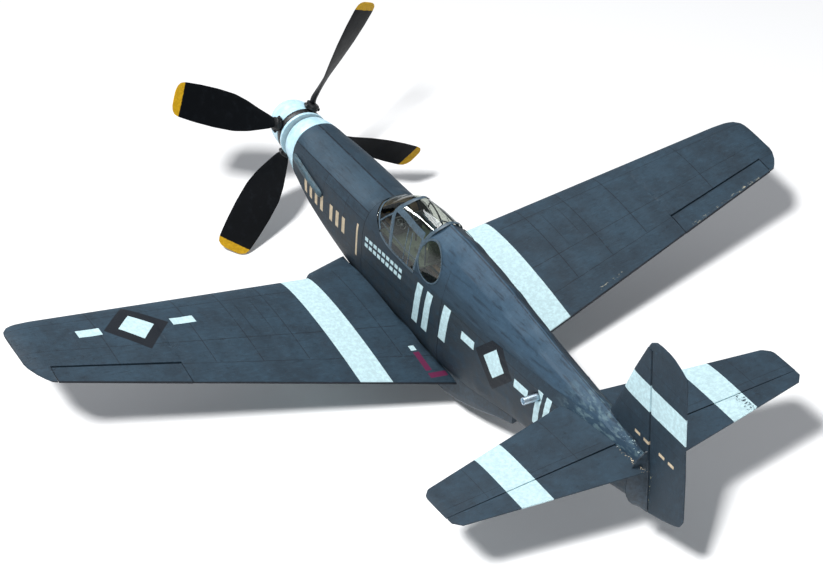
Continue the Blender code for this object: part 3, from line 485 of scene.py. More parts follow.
def blade_material(name, hub, outward, tip_radius):
    """Moulded black blade whose tip is dipped in yellow, with a scuffed leading edge."""
    mat = Shader(name)
    offset = mat.add("ShaderNodeVectorMath", {0: mat.inches, 1: tuple(hub)}, operation="SUBTRACT")
    inputs = {0: offset.outputs[0], 1: tuple(outward)}
    along = mat.add("ShaderNodeVectorMath", inputs, operation="DOT_PRODUCT")
    radius = Value(mat, along.outputs["Value"])
    smudge = mat.noise(0.22, 6, roughness=0.65, seed=12)
    mat.colour = mat.mix(smudge.ramp(0.50, 0.80), BLACK, (0.008, 0.010, 0.013))
    scuffs = mat.noise(1.3, 8, roughness=0.75, seed=4).ramp(0.70, 0.80)
    mat.cover(scuffs * 0.25, (0.06, 0.065, 0.07))
    wander = (mat.noise(0.6, 2, seed=9) - 0.5) * 0.8
    dip = (radius + wander).ramp(tip_radius - 0.15, tip_radius + 0.15)
    gold = mat.mix(mat.noise(0.8, 5, seed=3).ramp(0.35, 0.70), (0.53, 0.300, 0.012), YELLOW)
    mat.cover(dip, gold)
    fine = mat.noise(6, 3, seed=1)
    mat.bump((fine, 0.2), (smudge, 0.5), distance=0.00012)
    return mat.finish(0.34 + smudge * 0.22, sheen=0.08)


def plain_material(name, colour, roughness, metallic=0.0, grain=2.5, spread=0.22, stretch=(1, 1, 1),
                   depth=0.0001):
    """Any small part: a clouded colour, uneven gloss and a little relief."""
    mat = Shader(name, tuple(part * (1 - spread) for part in colour))
    cloud = mat.noise(grain, 5, stretch=stretch, roughness=0.62)
    mat.cover(cloud.ramp(0.32, 0.68), tuple(min(1.0, part * (1 + spread)) for part in colour))
    mat.bump((cloud, 1.0), distance=depth)
    return mat.finish(roughness - 0.08 + cloud * 0.18, metallic)


def wood_material(name, colour, along=(0.08, 1, 1)):
    """Bare wood, its grain running along the axis with the small stretch."""
    dark = tuple(0.62 * part for part in colour)
    mat = Shader(name, dark)
    rings = mat.noise(1.1, 5, stretch=along, roughness=0.6, seed=7)
    pores = mat.noise(5.0, 3, stretch=along, roughness=0.7)
    mat.cover(rings.ramp(0.35, 0.68), colour)
    mat.cover(pores.ramp(0.58, 0.72) * 0.5, dark)
    mat.bump((pores, 0.7), (rings, 0.5), distance=0.0002)
    return mat.finish(0.72)


def glass_material(name, shine=1.0):
    """Thin clear sheet: see-through with a smoky tint, and a sharp reflection."""
    mat = Shader(name, (0.90, 0.95, 0.95))
    mat.finish(0.05, metallic=1.0)
    clear = mat.add("ShaderNodeBsdfTransparent", {"Color": (0.80, 0.815, 0.79, 1)})
    fresnel = mat.add("ShaderNodeFresnel", {"IOR": 1.45})
    smears = mat.noise(0.25, 3, seed=3).ramp(0.45, 0.80)
    front = 1.0 - Value(mat, mat.add("ShaderNodeNewGeometry").outputs["Backfacing"])
    share = mat.math("ADD", fresnel.outputs[0], smears * 0.02, clamp=True) * (front * shine)
    blend = mat.add("ShaderNodeMixShader", {0: share, 1: clear.outputs[0], 2: mat.main.outputs[0]})
    mat.link(blend.outputs[0], mat.tree.nodes["Material Output"].inputs["Surface"])
    return mat.material


# ---------------- building pieces
def row_point(port, aft, up):
    return Vector(to_metres((port, aft, up)))


def to_metres(inches):
    return (np.asarray(inches) - ORIGIN) * INCH


def clean(data, weld=False):
    """Joins points that coincide, and turns the faces outward."""
    edit = bmesh.new()
    edit.from_mesh(data)
    if weld:
        bmesh.ops.remove_doubles(edit, verts=edit.verts, dist=1e-6)
    bmesh.ops.recalc_face_normals(edit, faces=edit.faces)
    edit.to_mesh(data)
    edit.free()


def add_piece(name, data, material, body, sharp):
    """Puts a mesh into the scene as a piece that rides on a body."""
    data.shade_smooth()
    data.set_sharp_from_angle(angle=math.radians(sharp))
    data.materials.clear()
    data.materials.append(material)
    obj = bpy.data.objects.new(name, data)
    bpy.context.scene.collection.objects.link(obj)
    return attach(obj, body)


def piece(name, points, faces, material, replaces=(), body="airframe", sharp=35.0):
    """A piece from points in metres. It takes the place of the CAD nodes in replaces."""
    data = bpy.data.meshes.new(name)
    data.from_pydata([tuple(point) for point in points], [], faces)
    clean(data)
    obj = add_piece(name, data, material, body, sharp)
    if replaces:
        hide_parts(*replaces)
    return obj


def grid_faces(rows, columns, start=0, closed=False):
    faces = []
    for row in range(rows - 1):
        for column in range(columns if closed else columns - 1):
            after = (column + 1) % columns
            low = start + row * columns
            faces.append((low + column, low + after, low + columns + after, low + columns + column))
    return faces


def shell(name, node, aft, angle, radius, thickness, material, lining=None, closed=False):
    """A skin of the body over a grid of places, its rims closed. The lining is the material of its
    inner side."""
    outer, inner = to_row(aft, angle, radius), to_row(aft, angle, radius - thickness)
    rows, columns = outer.shape[:2]
    count = rows * columns
    faces = grid_faces(rows, columns, 0, closed) + grid_faces(rows, columns, count, closed)
    for row in (0, rows - 1):
        for column in range(columns if closed else columns - 1):
            first = row * columns + column
            second = row * columns + (column + 1) % columns
            faces.append((first, second, count + second, count + first))
    if not closed:
        for column in (0, columns - 1):
            for row in range(rows - 1):
                first = row * columns + column
                second = first + columns
                faces.append((first, second, count + second, count + first))
    points = np.concatenate([outer.reshape(-1, 3), inner.reshape(-1, 3)])
    obj = piece(name, points, faces, material, [node])
    if lining:
        obj.data.materials.append(lining)
        for face in obj.data.polygons:
            if min(face.vertices) >= count:
                face.material_index = 1
    return obj


def loft(name, loops, material, replaces=(), body="airframe", sharp=35.0):
    """A closed solid through loops (rows, columns, 3), capped at both ends."""
    loops = np.asarray(loops)
    rows, columns = loops.shape[:2]
    faces = grid_faces(rows, columns, 0, True)
    faces.append(tuple(range(columns)))
    faces.append(tuple(range((rows - 1) * columns, rows * columns)))
    return piece(name, loops.reshape(-1, 3), faces, material, replaces, body, sharp)


def tube(name, points, radius, material, sides=10, closed=False):
    """A round bar on the airframe along points in metres, as a curve made into a mesh."""
    curve = bpy.data.curves.new(name, "CURVE")
    curve.dimensions = "3D"
    curve.bevel_depth = radius * INCH
    curve.bevel_resolution = max(1, sides // 4)
    curve.use_fill_caps = not closed
    spline = curve.splines.new("POLY")
    spline.points.add(len(points) - 1)
    for spot, point in zip(spline.points, points):
        spot.co = (*point, 1)
    spline.use_cyclic_u = closed
    made = bpy.data.objects.new(name + "_curve", curve)
    bpy.context.scene.collection.objects.link(made)
    bpy.context.view_layer.update()
    data = bpy.data.meshes.new_from_object(made.evaluated_get(bpy.context.evaluated_depsgraph_get()))
    bpy.data.objects.remove(made)
    clean(data, weld=True)
    data.name = name
    return add_piece(name, data, material, "airframe", 50)


def dress(node, material, bevel=0.0, angle=35.0):
    """A CAD node that stays: welded, its edges softened, and given its material."""
    obj = frame["nodes"][node]
    obj.data.materials.clear()
    obj.data.materials.append(material)
    obj.data.shade_smooth()
    weld = obj.modifiers.new("weld", "WELD")
    weld.merge_threshold = 0.00001
    if bevel:
        soft = obj.modifiers.new("soft_edges", "BEVEL")
        soft.width = bevel * INCH
        soft.segments = 2
        soft.limit_method = "ANGLE"
        soft.angle_limit = math.radians(angle)
        soft.use_clamp_overlap = True
    crisp = obj.modifiers.new("crisp", "EDGE_SPLIT")
    crisp.split_angle = math.radians(angle)
    return obj


# ---------------- reading the frame
def node_mesh(name):
    """(points in inches, triangles) of a CAD node."""
    data = frame["nodes"][name].data
    data.calc_loop_triangles()
    points = np.empty(len(data.vertices) * 3, np.float32)
    data.vertices.foreach_get("co", points)
    corners = np.empty(len(data.loop_triangles) * 3, np.int32)
    data.loop_triangles.foreach_get("vertices", corners)
    return points.reshape(-1, 3) / INCH + ORIGIN, corners.reshape(-1, 3)


def section(name, origin, normal):
    """Points, in inches, where a node's edges cross a plane."""
    points, corners = node_mesh(name)
    height = (points - origin) @ normal + 0.0007
    found = []
    for a, b in ((0, 1), (1, 2), (2, 0)):
        first, second = corners[:, a], corners[:, b]
        crossing = height[first] * height[second] < 0
        p, q = points[first[crossing]], points[second[crossing]]
        share = height[first[crossing]] / (height[first[crossing]] - height[second[crossing]])
        found.append(p + (q - p) * share[:, None])
    return np.concatenate(found)


def blur(values, sigma, axis, wrap=False):
    """Gaussian blur of an array along one axis."""
    reach = int(math.ceil(3 * sigma))
    weights = np.exp(-0.5 * (np.arange(-reach, reach + 1) / sigma) ** 2)
    weights /= weights.sum()
    padding = [(0, 0)] * values.ndim
    padding[axis] = (reach, reach)
    padded = np.pad(values, padding, mode="wrap" if wrap else "edge")
    total = np.zeros_like(values)
    for shift, weight in enumerate(weights):
        total += weight * np.take(padded, range(shift, shift + values.shape[axis]), axis=axis)
    return total


def smoothstep(values, low, high):
    share = np.clip((np.asarray(values, float) - low) / (high - low), 0, 1)
    return share * share * (3 - 2 * share)


# ---------------- the body's outer form
BODY_SKINS = ("nose_cowl", "cockpit_skin", "tail_skin", "rear_deck", "canopy", "quarter_window_left",
              "quarter_window_right")
BODY_FRONT = 23.6
BODY_REAR = 334.8
COWL_REAR = 104.0
CABIN_REAR = 178.0
RING_STEP = 2.5  # degrees


class Form:
    """The body's radius about the line up = AXIS_UP, read off the CAD skins and smoothed."""

    def __init__(self):
        points, faces = [], []
        for name in BODY_SKINS:
            node_points, corners = node_mesh(name)
            faces += [tuple(corner + len(points) for corner in triangle) for triangle in corners.tolist()]
            points += [Vector(point) for point in node_points]
        tree = BVHTree.FromPolygons(points, faces)
        self.afts = np.linspace(BODY_FRONT, BODY_REAR, 262)
        self.angles = np.arange(0, 360, RING_STEP)
        radius = np.zeros((len(self.afts), len(self.angles)))
        for row, aft in enumerate(self.afts):
            for column, angle in enumerate(np.radians(self.angles)):
                outward = Vector((math.cos(angle), 0, math.sin(angle)))
                middle = Vector((0, aft, AXIS_UP))
                hit = tree.ray_cast(middle + outward * 90, -outward)[0]
                radius[row, column] = (hit - middle).dot(outward) if hit else 0.0
        for axis in (0, 1):
            before, after = np.roll(radius, 1, axis), np.roll(radius, -1, axis)
            fallen = radius < np.maximum(before, after) - 1.2
            radius = np.where(fallen, np.maximum(before, after), radius)
        self.radius = blur(blur(radius, 1.3, 1, wrap=True), 1.3, 0)

    def at(self, aft, angle):
        """Radius at places given as arrays of the same shape."""
        row = np.clip((aft - BODY_FRONT) / (self.afts[1] - self.afts[0]), 0, len(self.afts) - 1.001)
        column = (angle % 360) / RING_STEP
        low_row, low_column = np.floor(row).astype(int), np.floor(column).astype(int)
        across, along = column - low_column, row - low_row
        low_column %= len(self.angles)
        next_column = (low_column + 1) % len(self.angles)
        front = self.radius[low_row, low_column] * (1 - across) + self.radius[low_row, next_column] * across
        back = (self.radius[low_row + 1, low_column] * (1 - across)
                + self.radius[low_row + 1, next_column] * across)
        return front * (1 - along) + back * along


form = Form()


def to_row(aft, angle, radius):
    """Points in metres from places round the body."""
    turn = np.radians(angle)
    inches = np.stack([radius * np.cos(turn), aft, AXIS_UP + radius * np.sin(turn)], -1)
    return to_metres(inches)


def seam_table():
    """(aft, angle) where the lower skins end, from their top edges."""
    points = np.concatenate([node_mesh(name)[0] for name in ("cockpit_skin", "tail_skin")])
    points = points[points[:, 0] > 0]
    stations = np.round(points[:, 1])
    rows = []
    for aft in np.unique(stations):
        near = points[stations == aft]
        top = near[np.argmax(near[:, 2])]
        rows.append((top[1], math.degrees(math.atan2(top[2] - AXIS_UP, top[0]))))
    rows = np.array(rows)
    # The seam only rises behind the cockpit, which leaves out the edges of the holes in the side.
    highest = np.maximum.accumulate(np.where(rows[:, 0] > 150, rows[:, 1], 0))
    return rows[rows[:, 1] >= highest]


SEAM = seam_table()


def seam_angle(aft):
    return np.interp(aft, SEAM[:, 0], SEAM[:, 1])


def faceted(aft, angle, stringers, share):
    """Radius where the covering is pulled flat between stringers, by share of the way."""
    radius = form.at(aft, angle)
    stringers = np.asarray(stringers, float)
    index = np.clip(np.searchsorted(stringers, angle, side="right") - 1, 0, len(stringers) - 2)
    first, second = stringers[index], stringers[index + 1]
    p_radius, q_radius = form.at(aft, first), form.at(aft, second)
    p = np.stack([p_radius * np.cos(np.radians(first)), p_radius * np.sin(np.radians(first))], -1)
    q = np.stack([q_radius * np.cos(np.radians(second)), q_radius * np.sin(np.radians(second))], -1)
    ray = np.stack([np.cos(np.radians(angle)), np.sin(np.radians(angle))], -1)
    span = q - p
    cross = p[..., 0] * span[..., 1] - p[..., 1] * span[..., 0]
    flat = cross / (ray[..., 0] * span[..., 1] - ray[..., 1] * span[..., 0])
    inside = (angle > stringers[0]) & (angle < stringers[-1])
    return np.where(inside, radius + share * (np.minimum(flat, radius) - radius), radius)


def folded(angle):
    """The same angle on the left side, -90 below to 90 on top."""
    return np.degrees(np.arcsin(np.clip(np.sin(np.radians(angle)), -1, 1)))


def wave(aft, angle, seed, along, across):
    """Smooth, repeatable irregularity from a few sines, about -1 to 1."""
    rng = np.random.default_rng(seed)
    total = np.zeros(np.broadcast(aft, angle).shape)
    for _ in range(7):
        phase, turn = rng.uniform(0, 2 * math.pi, 2)
        total += np.sin(aft / along * rng.uniform(0.5, 1.6) * 2 * math.pi + phase
                        + 1.3 * np.sin(angle / across * rng.uniform(0.5, 1.6) * 2 * math.pi + turn))
    return total / 7


# ---------------- the body's skins
COWL_STRINGERS = (-90, -66, -42, -20, 4, 33, 48, 90)
SIDE_STRINGERS = (-90, -68, -46, -24, -4, 14, 30)
DECK_STRINGERS = (18, 36, 54, 72, 90)
FORMERS = (104.0, 178.0, 215.6, 245.6, 296.6, 335.0)
SKIN_INSET = 0.04  # how far the coverings and the hood stay inside the CAD skins
PLANKING, TISSUE, CLEAR_SHEET = 0.9, 0.45, 0.25  # thicknesses


def at_formers(aft):
    """1 where a former holds the skin out, 0 away from them."""
    held = np.zeros(np.shape(aft))
    for place in ("nose", "windscreen", "cabin", "mid", "peg", "tail"):
        low, high = (float(corner[1]) / INCH + ORIGIN[1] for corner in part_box(place + "_former"))
        near = smoothstep(aft, low - 8, low - 0.4) * (1 - smoothstep(aft, high + 0.4, high + 8))
        held = np.maximum(held, near)
    return held


def between_formers(aft):
    """0 on a former and 1 halfway between two."""
    formers = np.asarray(FORMERS)
    index = np.clip(np.searchsorted(formers, aft) - 1, 0, len(formers) - 2)
    share = (aft - formers[index]) / (formers[index + 1] - formers[index])
    return np.sin(np.pi * np.clip(share, 0, 1))


def near_stringer(angle, stringers, width=1.3):
    away = np.min(np.abs(angle[..., None] - np.asarray(stringers, float)), axis=-1)
    return np.exp(-(away / width) ** 2)


def skin_grid(afts, low, high, columns):
    """Arrays of aft and angle between two angles that depend on aft."""
    share = np.linspace(0, 1, columns)[None, :]
    low, high = low(afts)[:, None], high(afts)[:, None]
    return np.broadcast_to(afts[:, None], (len(afts), columns)), low + (high - low) * share


def held_radius(aft, side, radius):
    """Radius of a covering that is let out to its formers, just inside the CAD skin."""
    return radius + (form.at(aft, side) - SKIN_INSET - radius) * at_formers(aft)


def make_cowl(material):
    afts = np.linspace(BODY_FRONT, COWL_REAR - 0.05, 110)
    aft, angle = np.meshgrid(afts, np.arange(-90, 270, 1.5), indexing="ij")
    side = folded(angle)
    radius = faceted(aft, side, COWL_STRINGERS, 0.45)
    radius -= 0.05 * (1 + wave(aft, side, 4, 45, 40))
    groove = np.exp(-((side - 48) / 0.8) ** 2) + np.exp(-((90 - side) / 0.9) ** 2)
    radius -= 0.09 * groove
    radius = held_radius(aft, side, radius)
    shell("cowl_planking", "nose_cowl", aft, angle, radius, PLANKING, material, closed=True)


def make_lower_skin(name, node, start, end, rows, material, lining):
    afts = np.linspace(start, end, rows)
    aft, angle = skin_grid(afts, lambda a: 180 - seam_angle(a), lambda a: 360 + seam_angle(a), 150)
    side = folded(angle)
    radius = faceted(aft, side, SIDE_STRINGERS, 0.55)
    sag = between_formers(aft) * (1 - near_stringer(side, SIDE_STRINGERS, 5))
    radius -= 0.13 * sag * (1 + 0.8 * wave(aft, side, 9, 38, 30))
    skin = shell(name, node, aft, angle, held_radius(aft, side, radius), TISSUE, material, lining)
    if node == "tail_skin":
        for number, ports in enumerate(((-22, -6), (6, 22)), 1):
            cut_round(skin, f"peg_hole_{number}", *(row_point(port, *PEG[1:]) for port in ports), PEG_HOLE)
        low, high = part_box("elevator_joiner")
        middle = (low + high) / 2
        reach = Vector((high.x - middle.x, 0, low.z - middle.z)) * 1.5
        cut_round(skin, "joiner_hole", middle - reach, middle + reach, 1.0)


PEG_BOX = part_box("rear_peg")
PEG = (np.array(PEG_BOX[0]) + np.array(PEG_BOX[1])) / 2 / INCH + ORIGIN
PEG_HOLE = 2.08  # radius of the holes in the covering round the peg

HOOD_SIDE = 151.2  # where the hood ends at its sides
HOOD_TOP = 157.6  # and on the centre line
HOOD_REACH = 60.0  # the angle above which its rear edge runs further aft


def hood_rear(side_angle):
    """How far aft the clear hood reaches, by angle."""
    return HOOD_SIDE + (HOOD_TOP - HOOD_SIDE) * smoothstep(side_angle, HOOD_REACH, 88)


def over_top(rows, columns, gap, front, rear, ends):
    """Arrays of aft and angle over the body's top from seam to seam, a gap in degrees above them.
    ends(side angle) is where the grid starts and stops; front and rear are a first guess at that."""
    share = np.linspace(0, 1, columns)[None, :]
    along = np.linspace(0, 1, rows)[:, None]
    aft = front + (rear - front) * along * np.ones_like(share)
    for _ in range(2):
        low = seam_angle(aft) + gap
        angle = low + (180 - 2 * low) * share
        start, end = ends(folded(angle))
        aft = start + (end - start) * along
    return aft, angle


def make_deck(material, lining):
    """The turtle deck: tissue pulled between stringers, with long soft folds."""
    aft, angle = over_top(170, 130, 0.0, HOOD_SIDE, BODY_REAR,
                          lambda side: (hood_rear(side) + 0.15, BODY_REAR))
    side = folded(angle)
    radius = faceted(aft, side, DECK_STRINGERS, 0.70)
    sag = smoothstep(aft, 152, 178) * (1 - near_stringer(side, DECK_STRINGERS, 3.5))
    radius -= 0.14 * sag
    folds = wave(aft * 0.14 + side * 0.9, side * 2.2 - aft * 0.10, 12, 22, 34)
    radius -= 0.17 * sag * (1 + folds) * smoothstep(aft, 168, 200)
    radius = held_radius(aft, side, radius)
    deck = shell("deck_covering", "rear_deck", aft, angle, radius, TISSUE, material, lining)
    for side_name in ("left", "right"):
        cut_window(deck, side_name)


def window_outline(count, grow=0.0):
    """(aft, up) round a quarter window, read off its CAD node's edge."""
    points, _ = node_mesh("quarter_window_left")
    middle = (points.min(0) + points.max(0)) / 2
    aft, up = points[:, 1] - middle[1], points[:, 2] - middle[2]
    turn, reach = np.arctan2(up, aft), np.hypot(aft, up)
    edge = [reach[np.abs((turn - angle + math.pi) % (2 * math.pi) - math.pi) < 0.24].max()
            for angle in np.linspace(0, 2 * math.pi, 20, endpoint=False)]
    fine = np.linspace(0, 2 * math.pi, count, endpoint=False)
    reach = np.interp(fine, np.linspace(0, 2 * math.pi, 21), edge + edge[:1]) + grow
    reach = blur(reach, count / 40, 0, wrap=True)
    return np.stack([middle[1] + reach * np.cos(fine), middle[2] + reach * np.sin(fine)], -1)


def cut_window(deck, side_name):
    side = 1 if side_name == "left" else -1
    outline = window_outline(64, 0.25)
    loops = [[row_point(side * port, aft, up) for aft, up in outline] for port in (4, 24)]
    cut(deck, "window_space_" + side_name, loops)


def cut_round(obj, name, start, end, radius):
    """Drills a round hole from start to end."""
    turn = (end - start).to_track_quat("Z", "Y")
    loops = [[place + turn @ Vector((math.cos(t), math.sin(t), 0)) * radius * INCH
              for t in np.linspace(0, 2 * math.pi, 32, endpoint=False)] for place in (start, end)]
    cut(obj, name, loops)


def cut(obj, name, loops):
    """Takes the solid through some loops out of a piece."""
    cutter = loft(name, loops, obj.data.materials[0])
    removal = obj.modifiers.new(name, "BOOLEAN")
    removal.object = cutter
    removal.operation = "DIFFERENCE"
    graph = bpy.context.evaluated_depsgraph_get()
    bpy.context.view_layer.update()
    data = bpy.data.meshes.new_from_object(obj.evaluated_get(graph))
    old = obj.data
    obj.modifiers.clear()
    obj.data = data
    bpy.data.meshes.remove(old)
    bpy.data.objects.remove(cutter)


def make_canopy(glass, lining):
    start = COWL_REAR + 0.3
    aft, angle = over_top(60, 110, 0.3, start, start + 45, lambda side: (start, hood_rear(side)))
    radius = blur(blur(form.at(aft, angle), 3, 0), 3, 1) - SKIN_INSET
    return shell("clear_hood", "canopy", aft, angle, radius, CLEAR_SHEET, glass, lining)


def surface_strip(name, path, width, lift, material, sides=5, closed=False):
    """A painted frame strip on the body: path holds (aft, angle) pairs."""
    path = np.asarray(path, float)
    aft, angle = path.T
    centre = to_row(aft, angle, form.at(aft, angle))
    out = centre - to_row(aft, angle, 0 * aft)
    out /= np.linalg.norm(out, axis=1)[:, None]
    if closed:
        tangent = np.roll(centre, -1, 0) - np.roll(centre, 1, 0)
    else:
        tangent = np.gradient(centre, axis=0)
    tangent /= np.linalg.norm(tangent, axis=1)[:, None]
    across = np.cross(out, tangent)
    across /= np.linalg.norm(across, axis=1)[:, None]
    loops = []
    for share in np.linspace(-0.5, 0.5, sides):
        crown = math.sqrt(max(0.0, 1 - (2 * share) ** 2 * 0.8))
        edge = centre + across * share * width * INCH
        inches = edge / INCH + ORIGIN
        aft = inches[:, 1]
        angle = np.degrees(np.arctan2(inches[:, 2] - AXIS_UP, inches[:, 0]))
        radius = form.at(aft, angle)
        loops.append((to_row(aft, angle, radius + lift * crown), to_row(aft, angle, radius - 0.02)))
    outer = np.stack([pair[0] for pair in loops])
    inner = np.stack([pair[1] for pair in loops])[::-1]
    ring = np.concatenate([outer, inner]).transpose(1, 0, 2)
    if not closed:
        return loft(name, ring, material)
    rows, columns = ring.shape[:2]
    ring = np.concatenate([ring, ring[:1]])
    faces = [tuple(index % (rows * columns) for index in face)
             for face in grid_faces(rows + 1, columns, 0, True)]
    return piece(name, ring[:-1].reshape(-1, 3), faces, material)


def path_through(places, count=40):
    """A smooth (aft, angle) path through places given as (port, aft, up)."""
    places = np.asarray(places, float)
    angle = np.degrees(np.arctan2(places[:, 2] - AXIS_UP, places[:, 0]))
    steps = np.r_[0, np.cumsum(np.hypot(np.diff(places[:, 1]), np.diff(angle) * 0.5))]
    fine = np.linspace(0, steps[-1], count)
    aft = np.interp(fine, steps, places[:, 1])
    angle = np.interp(fine, steps, angle)
    return np.stack([blur(aft, 1.5, 0), blur(angle, 1.5, 0)], -1)


def mirrored(path):
    """The same path on the other side."""
    other = np.array(path)
    other[:, 1] = 180 - other[:, 1]
    return other


def both_sides(path):
    """A left-hand path that ends on the centre line, carried over to the right."""
    return np.concatenate([path, mirrored(path)[::-1][1:]])


def make_canopy_frames(paint):
    """The hood's painted framing: arches, rails and posts."""
    base = path_through([(15.6, 117.6, 11.5), (14.4, 114.4, 15.3), (12.1, 110.6, 18.2), (7.0, 106.6, 19.6),
                         (0.0, 105.0, 20.2)])
    hoop = path_through([(16.3, 128.6, 7.9), (15.3, 127.4, 12), (13.2, 125.0, 18.9), (10.8, 122.2, 24.0),
                         (9.0, 122.6, 26.4), (7.2, 125.4, 29.4), (4.1, 128.0, 32.5), (0.0, 130.0, 34.6)])
    surface_strip("windscreen_base_frame", both_sides(base), 1.2, 0.20, paint)
    surface_strip("windscreen_hoop", both_sides(hoop), 2.6, 0.22, paint)
    rail = path_through([(9.2, 123.4, 26.4), (9.5, 132.2, 26.6), (10.1, 141.3, 25.9), (10.1, 148.1, 25.5),
                         (10.0, 151.2, 25.3)])
    brace = path_through([(14.4, 114.4, 15.3), (12.6, 118.2, 20.2), (10.9, 121.8, 23.6)])
    post_front = path_through([(11.1, 137.3, 24.2), (13.2, 139.2, 18.2), (15.0, 140.2, 11.9),
                               (15.8, 140.8, 7.2)])
    post_rear = path_through([(11.4, 141.6, 24.0), (12.9, 142.8, 18.6), (14.8, 144.6, 12.0),
                              (15.9, 145.2, 7.2)])
    end = path_through([(10.5, 150.6, 24.8), (13.2, 150.8, 17.5), (15.6, 150.8, 7.4)])
    sill = [(aft, float(seam_angle(aft)) + 0.8) for aft in np.linspace(118, 151, 34)]
    for label, turn in (("left", np.array), ("right", mirrored)):
        for name, path, width, lift in (
                ("hood_rail_", rail, 2.7, 0.22), ("hood_post_front_", post_front, 0.6, 0.18),
                ("hood_post_rear_", post_rear, 0.6, 0.18), ("hood_end_frame_", end, 1.5, 0.20),
                ("windscreen_brace_", brace, 0.8, 0.20), ("hood_sill_", sill, 1.2, 0.24)):
            surface_strip(name + label, turn(path), width, lift, paint)
    top = [(float(hood_rear(folded(angle))), angle) for angle in np.linspace(62, 118, 46)]
    surface_strip("hood_rear_bow", top, 2.0, 0.24, paint)


def make_window_rims(paint):
    outline = window_outline(72, 0.1)
    for label in ("left", "right"):
        path = []
        for aft, up in outline:
            low, high = 5.0, 80.0
            for _ in range(30):
                middle = (low + high) / 2
                radius = float(form.at(np.array(aft), np.array(middle)))
                height = AXIS_UP + radius * math.sin(math.radians(middle))
                low, high = (middle, high) if height < up else (low, middle)
            path.append((aft, middle))
        path = np.array(path)
        if label == "right":
            path = mirrored(path)[::-1]
        surface_strip("window_rim_" + label, path, 0.8, 0.28, paint, closed=True)


# ---------------- flying surfaces
def share_steps(count):
    return 0.5 * (1 - np.cos(np.linspace(0, math.pi, count)))


def side_line(along, height, keep, places, upper, softness):
    """Height of one side of a section at places along it, smoothed apart from its ends."""
    best = {}
    for x, y in zip(np.round(along[keep], 2), height[keep]):
        best[x] = max(best.get(x, -1e9), y) if upper else min(best.get(x, 1e9), y)
    xs = np.array(sorted(best))
    line = np.interp(places, xs, [best[x] for x in xs])
    line[2:-2] = blur(line, softness, 0)[2:-2]
    return line


def panel_loops(node, stations, origin_of, thick_axis, shares, relief, reach=None):
    """Loops round a flying surface at each station, read off its CAD node and smoothed across the
    chord. relief(station, aft, upper) is how far the covering sinks, in inches, and reach(station) is how
    far the rear edge runs on towards a hinged surface."""
    chord_axis = np.array([0.0, 1.0, 0.0])
    normal = np.cross(chord_axis, thick_axis)
    normal /= np.linalg.norm(normal)
    loops = []
    for station in stations:
        origin = origin_of(station)
        points = section(node, origin, normal)
        chord, height = (points - origin) @ chord_axis, (points - origin) @ thick_axis
        order = np.argsort(chord)
        chord, height = chord[order], height[order]
        front, rear = chord[0], chord[-1]
        slope = np.interp(chord, [front, rear],
                          [height[chord < front + 0.05].mean(), height[chord > rear - 0.05].mean()])
        over = height >= slope
        loop = []
        for upper in (True, False):
            keep = (over == upper) | (chord < front + 0.02) | (chord > rear - 0.02)
            line = side_line(chord, height, keep, front + (rear - front) * shares, upper, 1.2)
            longer = reach(station) if reach else 0.0
            aft = front + (rear + longer - front) * shares + origin[1]
            sink = relief(station, aft, upper)
            line = line - sink if upper else line + sink
            side = [origin + chord_axis * (a - origin[1]) + thick_axis * z for a, z in zip(aft, line)]
            loop += side[::-1] if upper else side
        loops.append(loop)
    return to_metres(loops)


def rib_relief(depth, ribs, first, last):
    """Covering that sinks between ribs, and is held up along the front and rear strips."""
    def relief(station, aft, upper):
        if station < first or station > last:
            return np.zeros_like(aft)
        bay = math.sin(math.pi * ((station - first) / ribs % 1.0)) ** 2
        share = (aft - aft.min()) / (aft.max() - aft.min())
        window = smoothstep(share, 0.10, 0.24) * smoothstep(1 - share, 0.05, 0.16)
        spar = 1 - 0.7 * np.exp(-((share - 0.38) / 0.035) ** 2)
        ripple = 1 + 0.25 * np.sin(aft * 0.55 + station * 0.31) * math.sin(station * 0.17)
        return depth * bay * window * spar * ripple * (1.0 if upper else 0.7)
    return relief


def span_stations(start, end, step, *extra):
    """Stations from start to end, with extra ones where the outline changes."""
    count = max(2, int(round((end - start) / step)))
    stations = set(np.round(np.linspace(start, end, count), 3))
    stations.update(extra)
    return sorted(stations)


DIHEDRAL = 0.182
AILERON_INNER = 146.0
AILERON_OUTER = 210.0


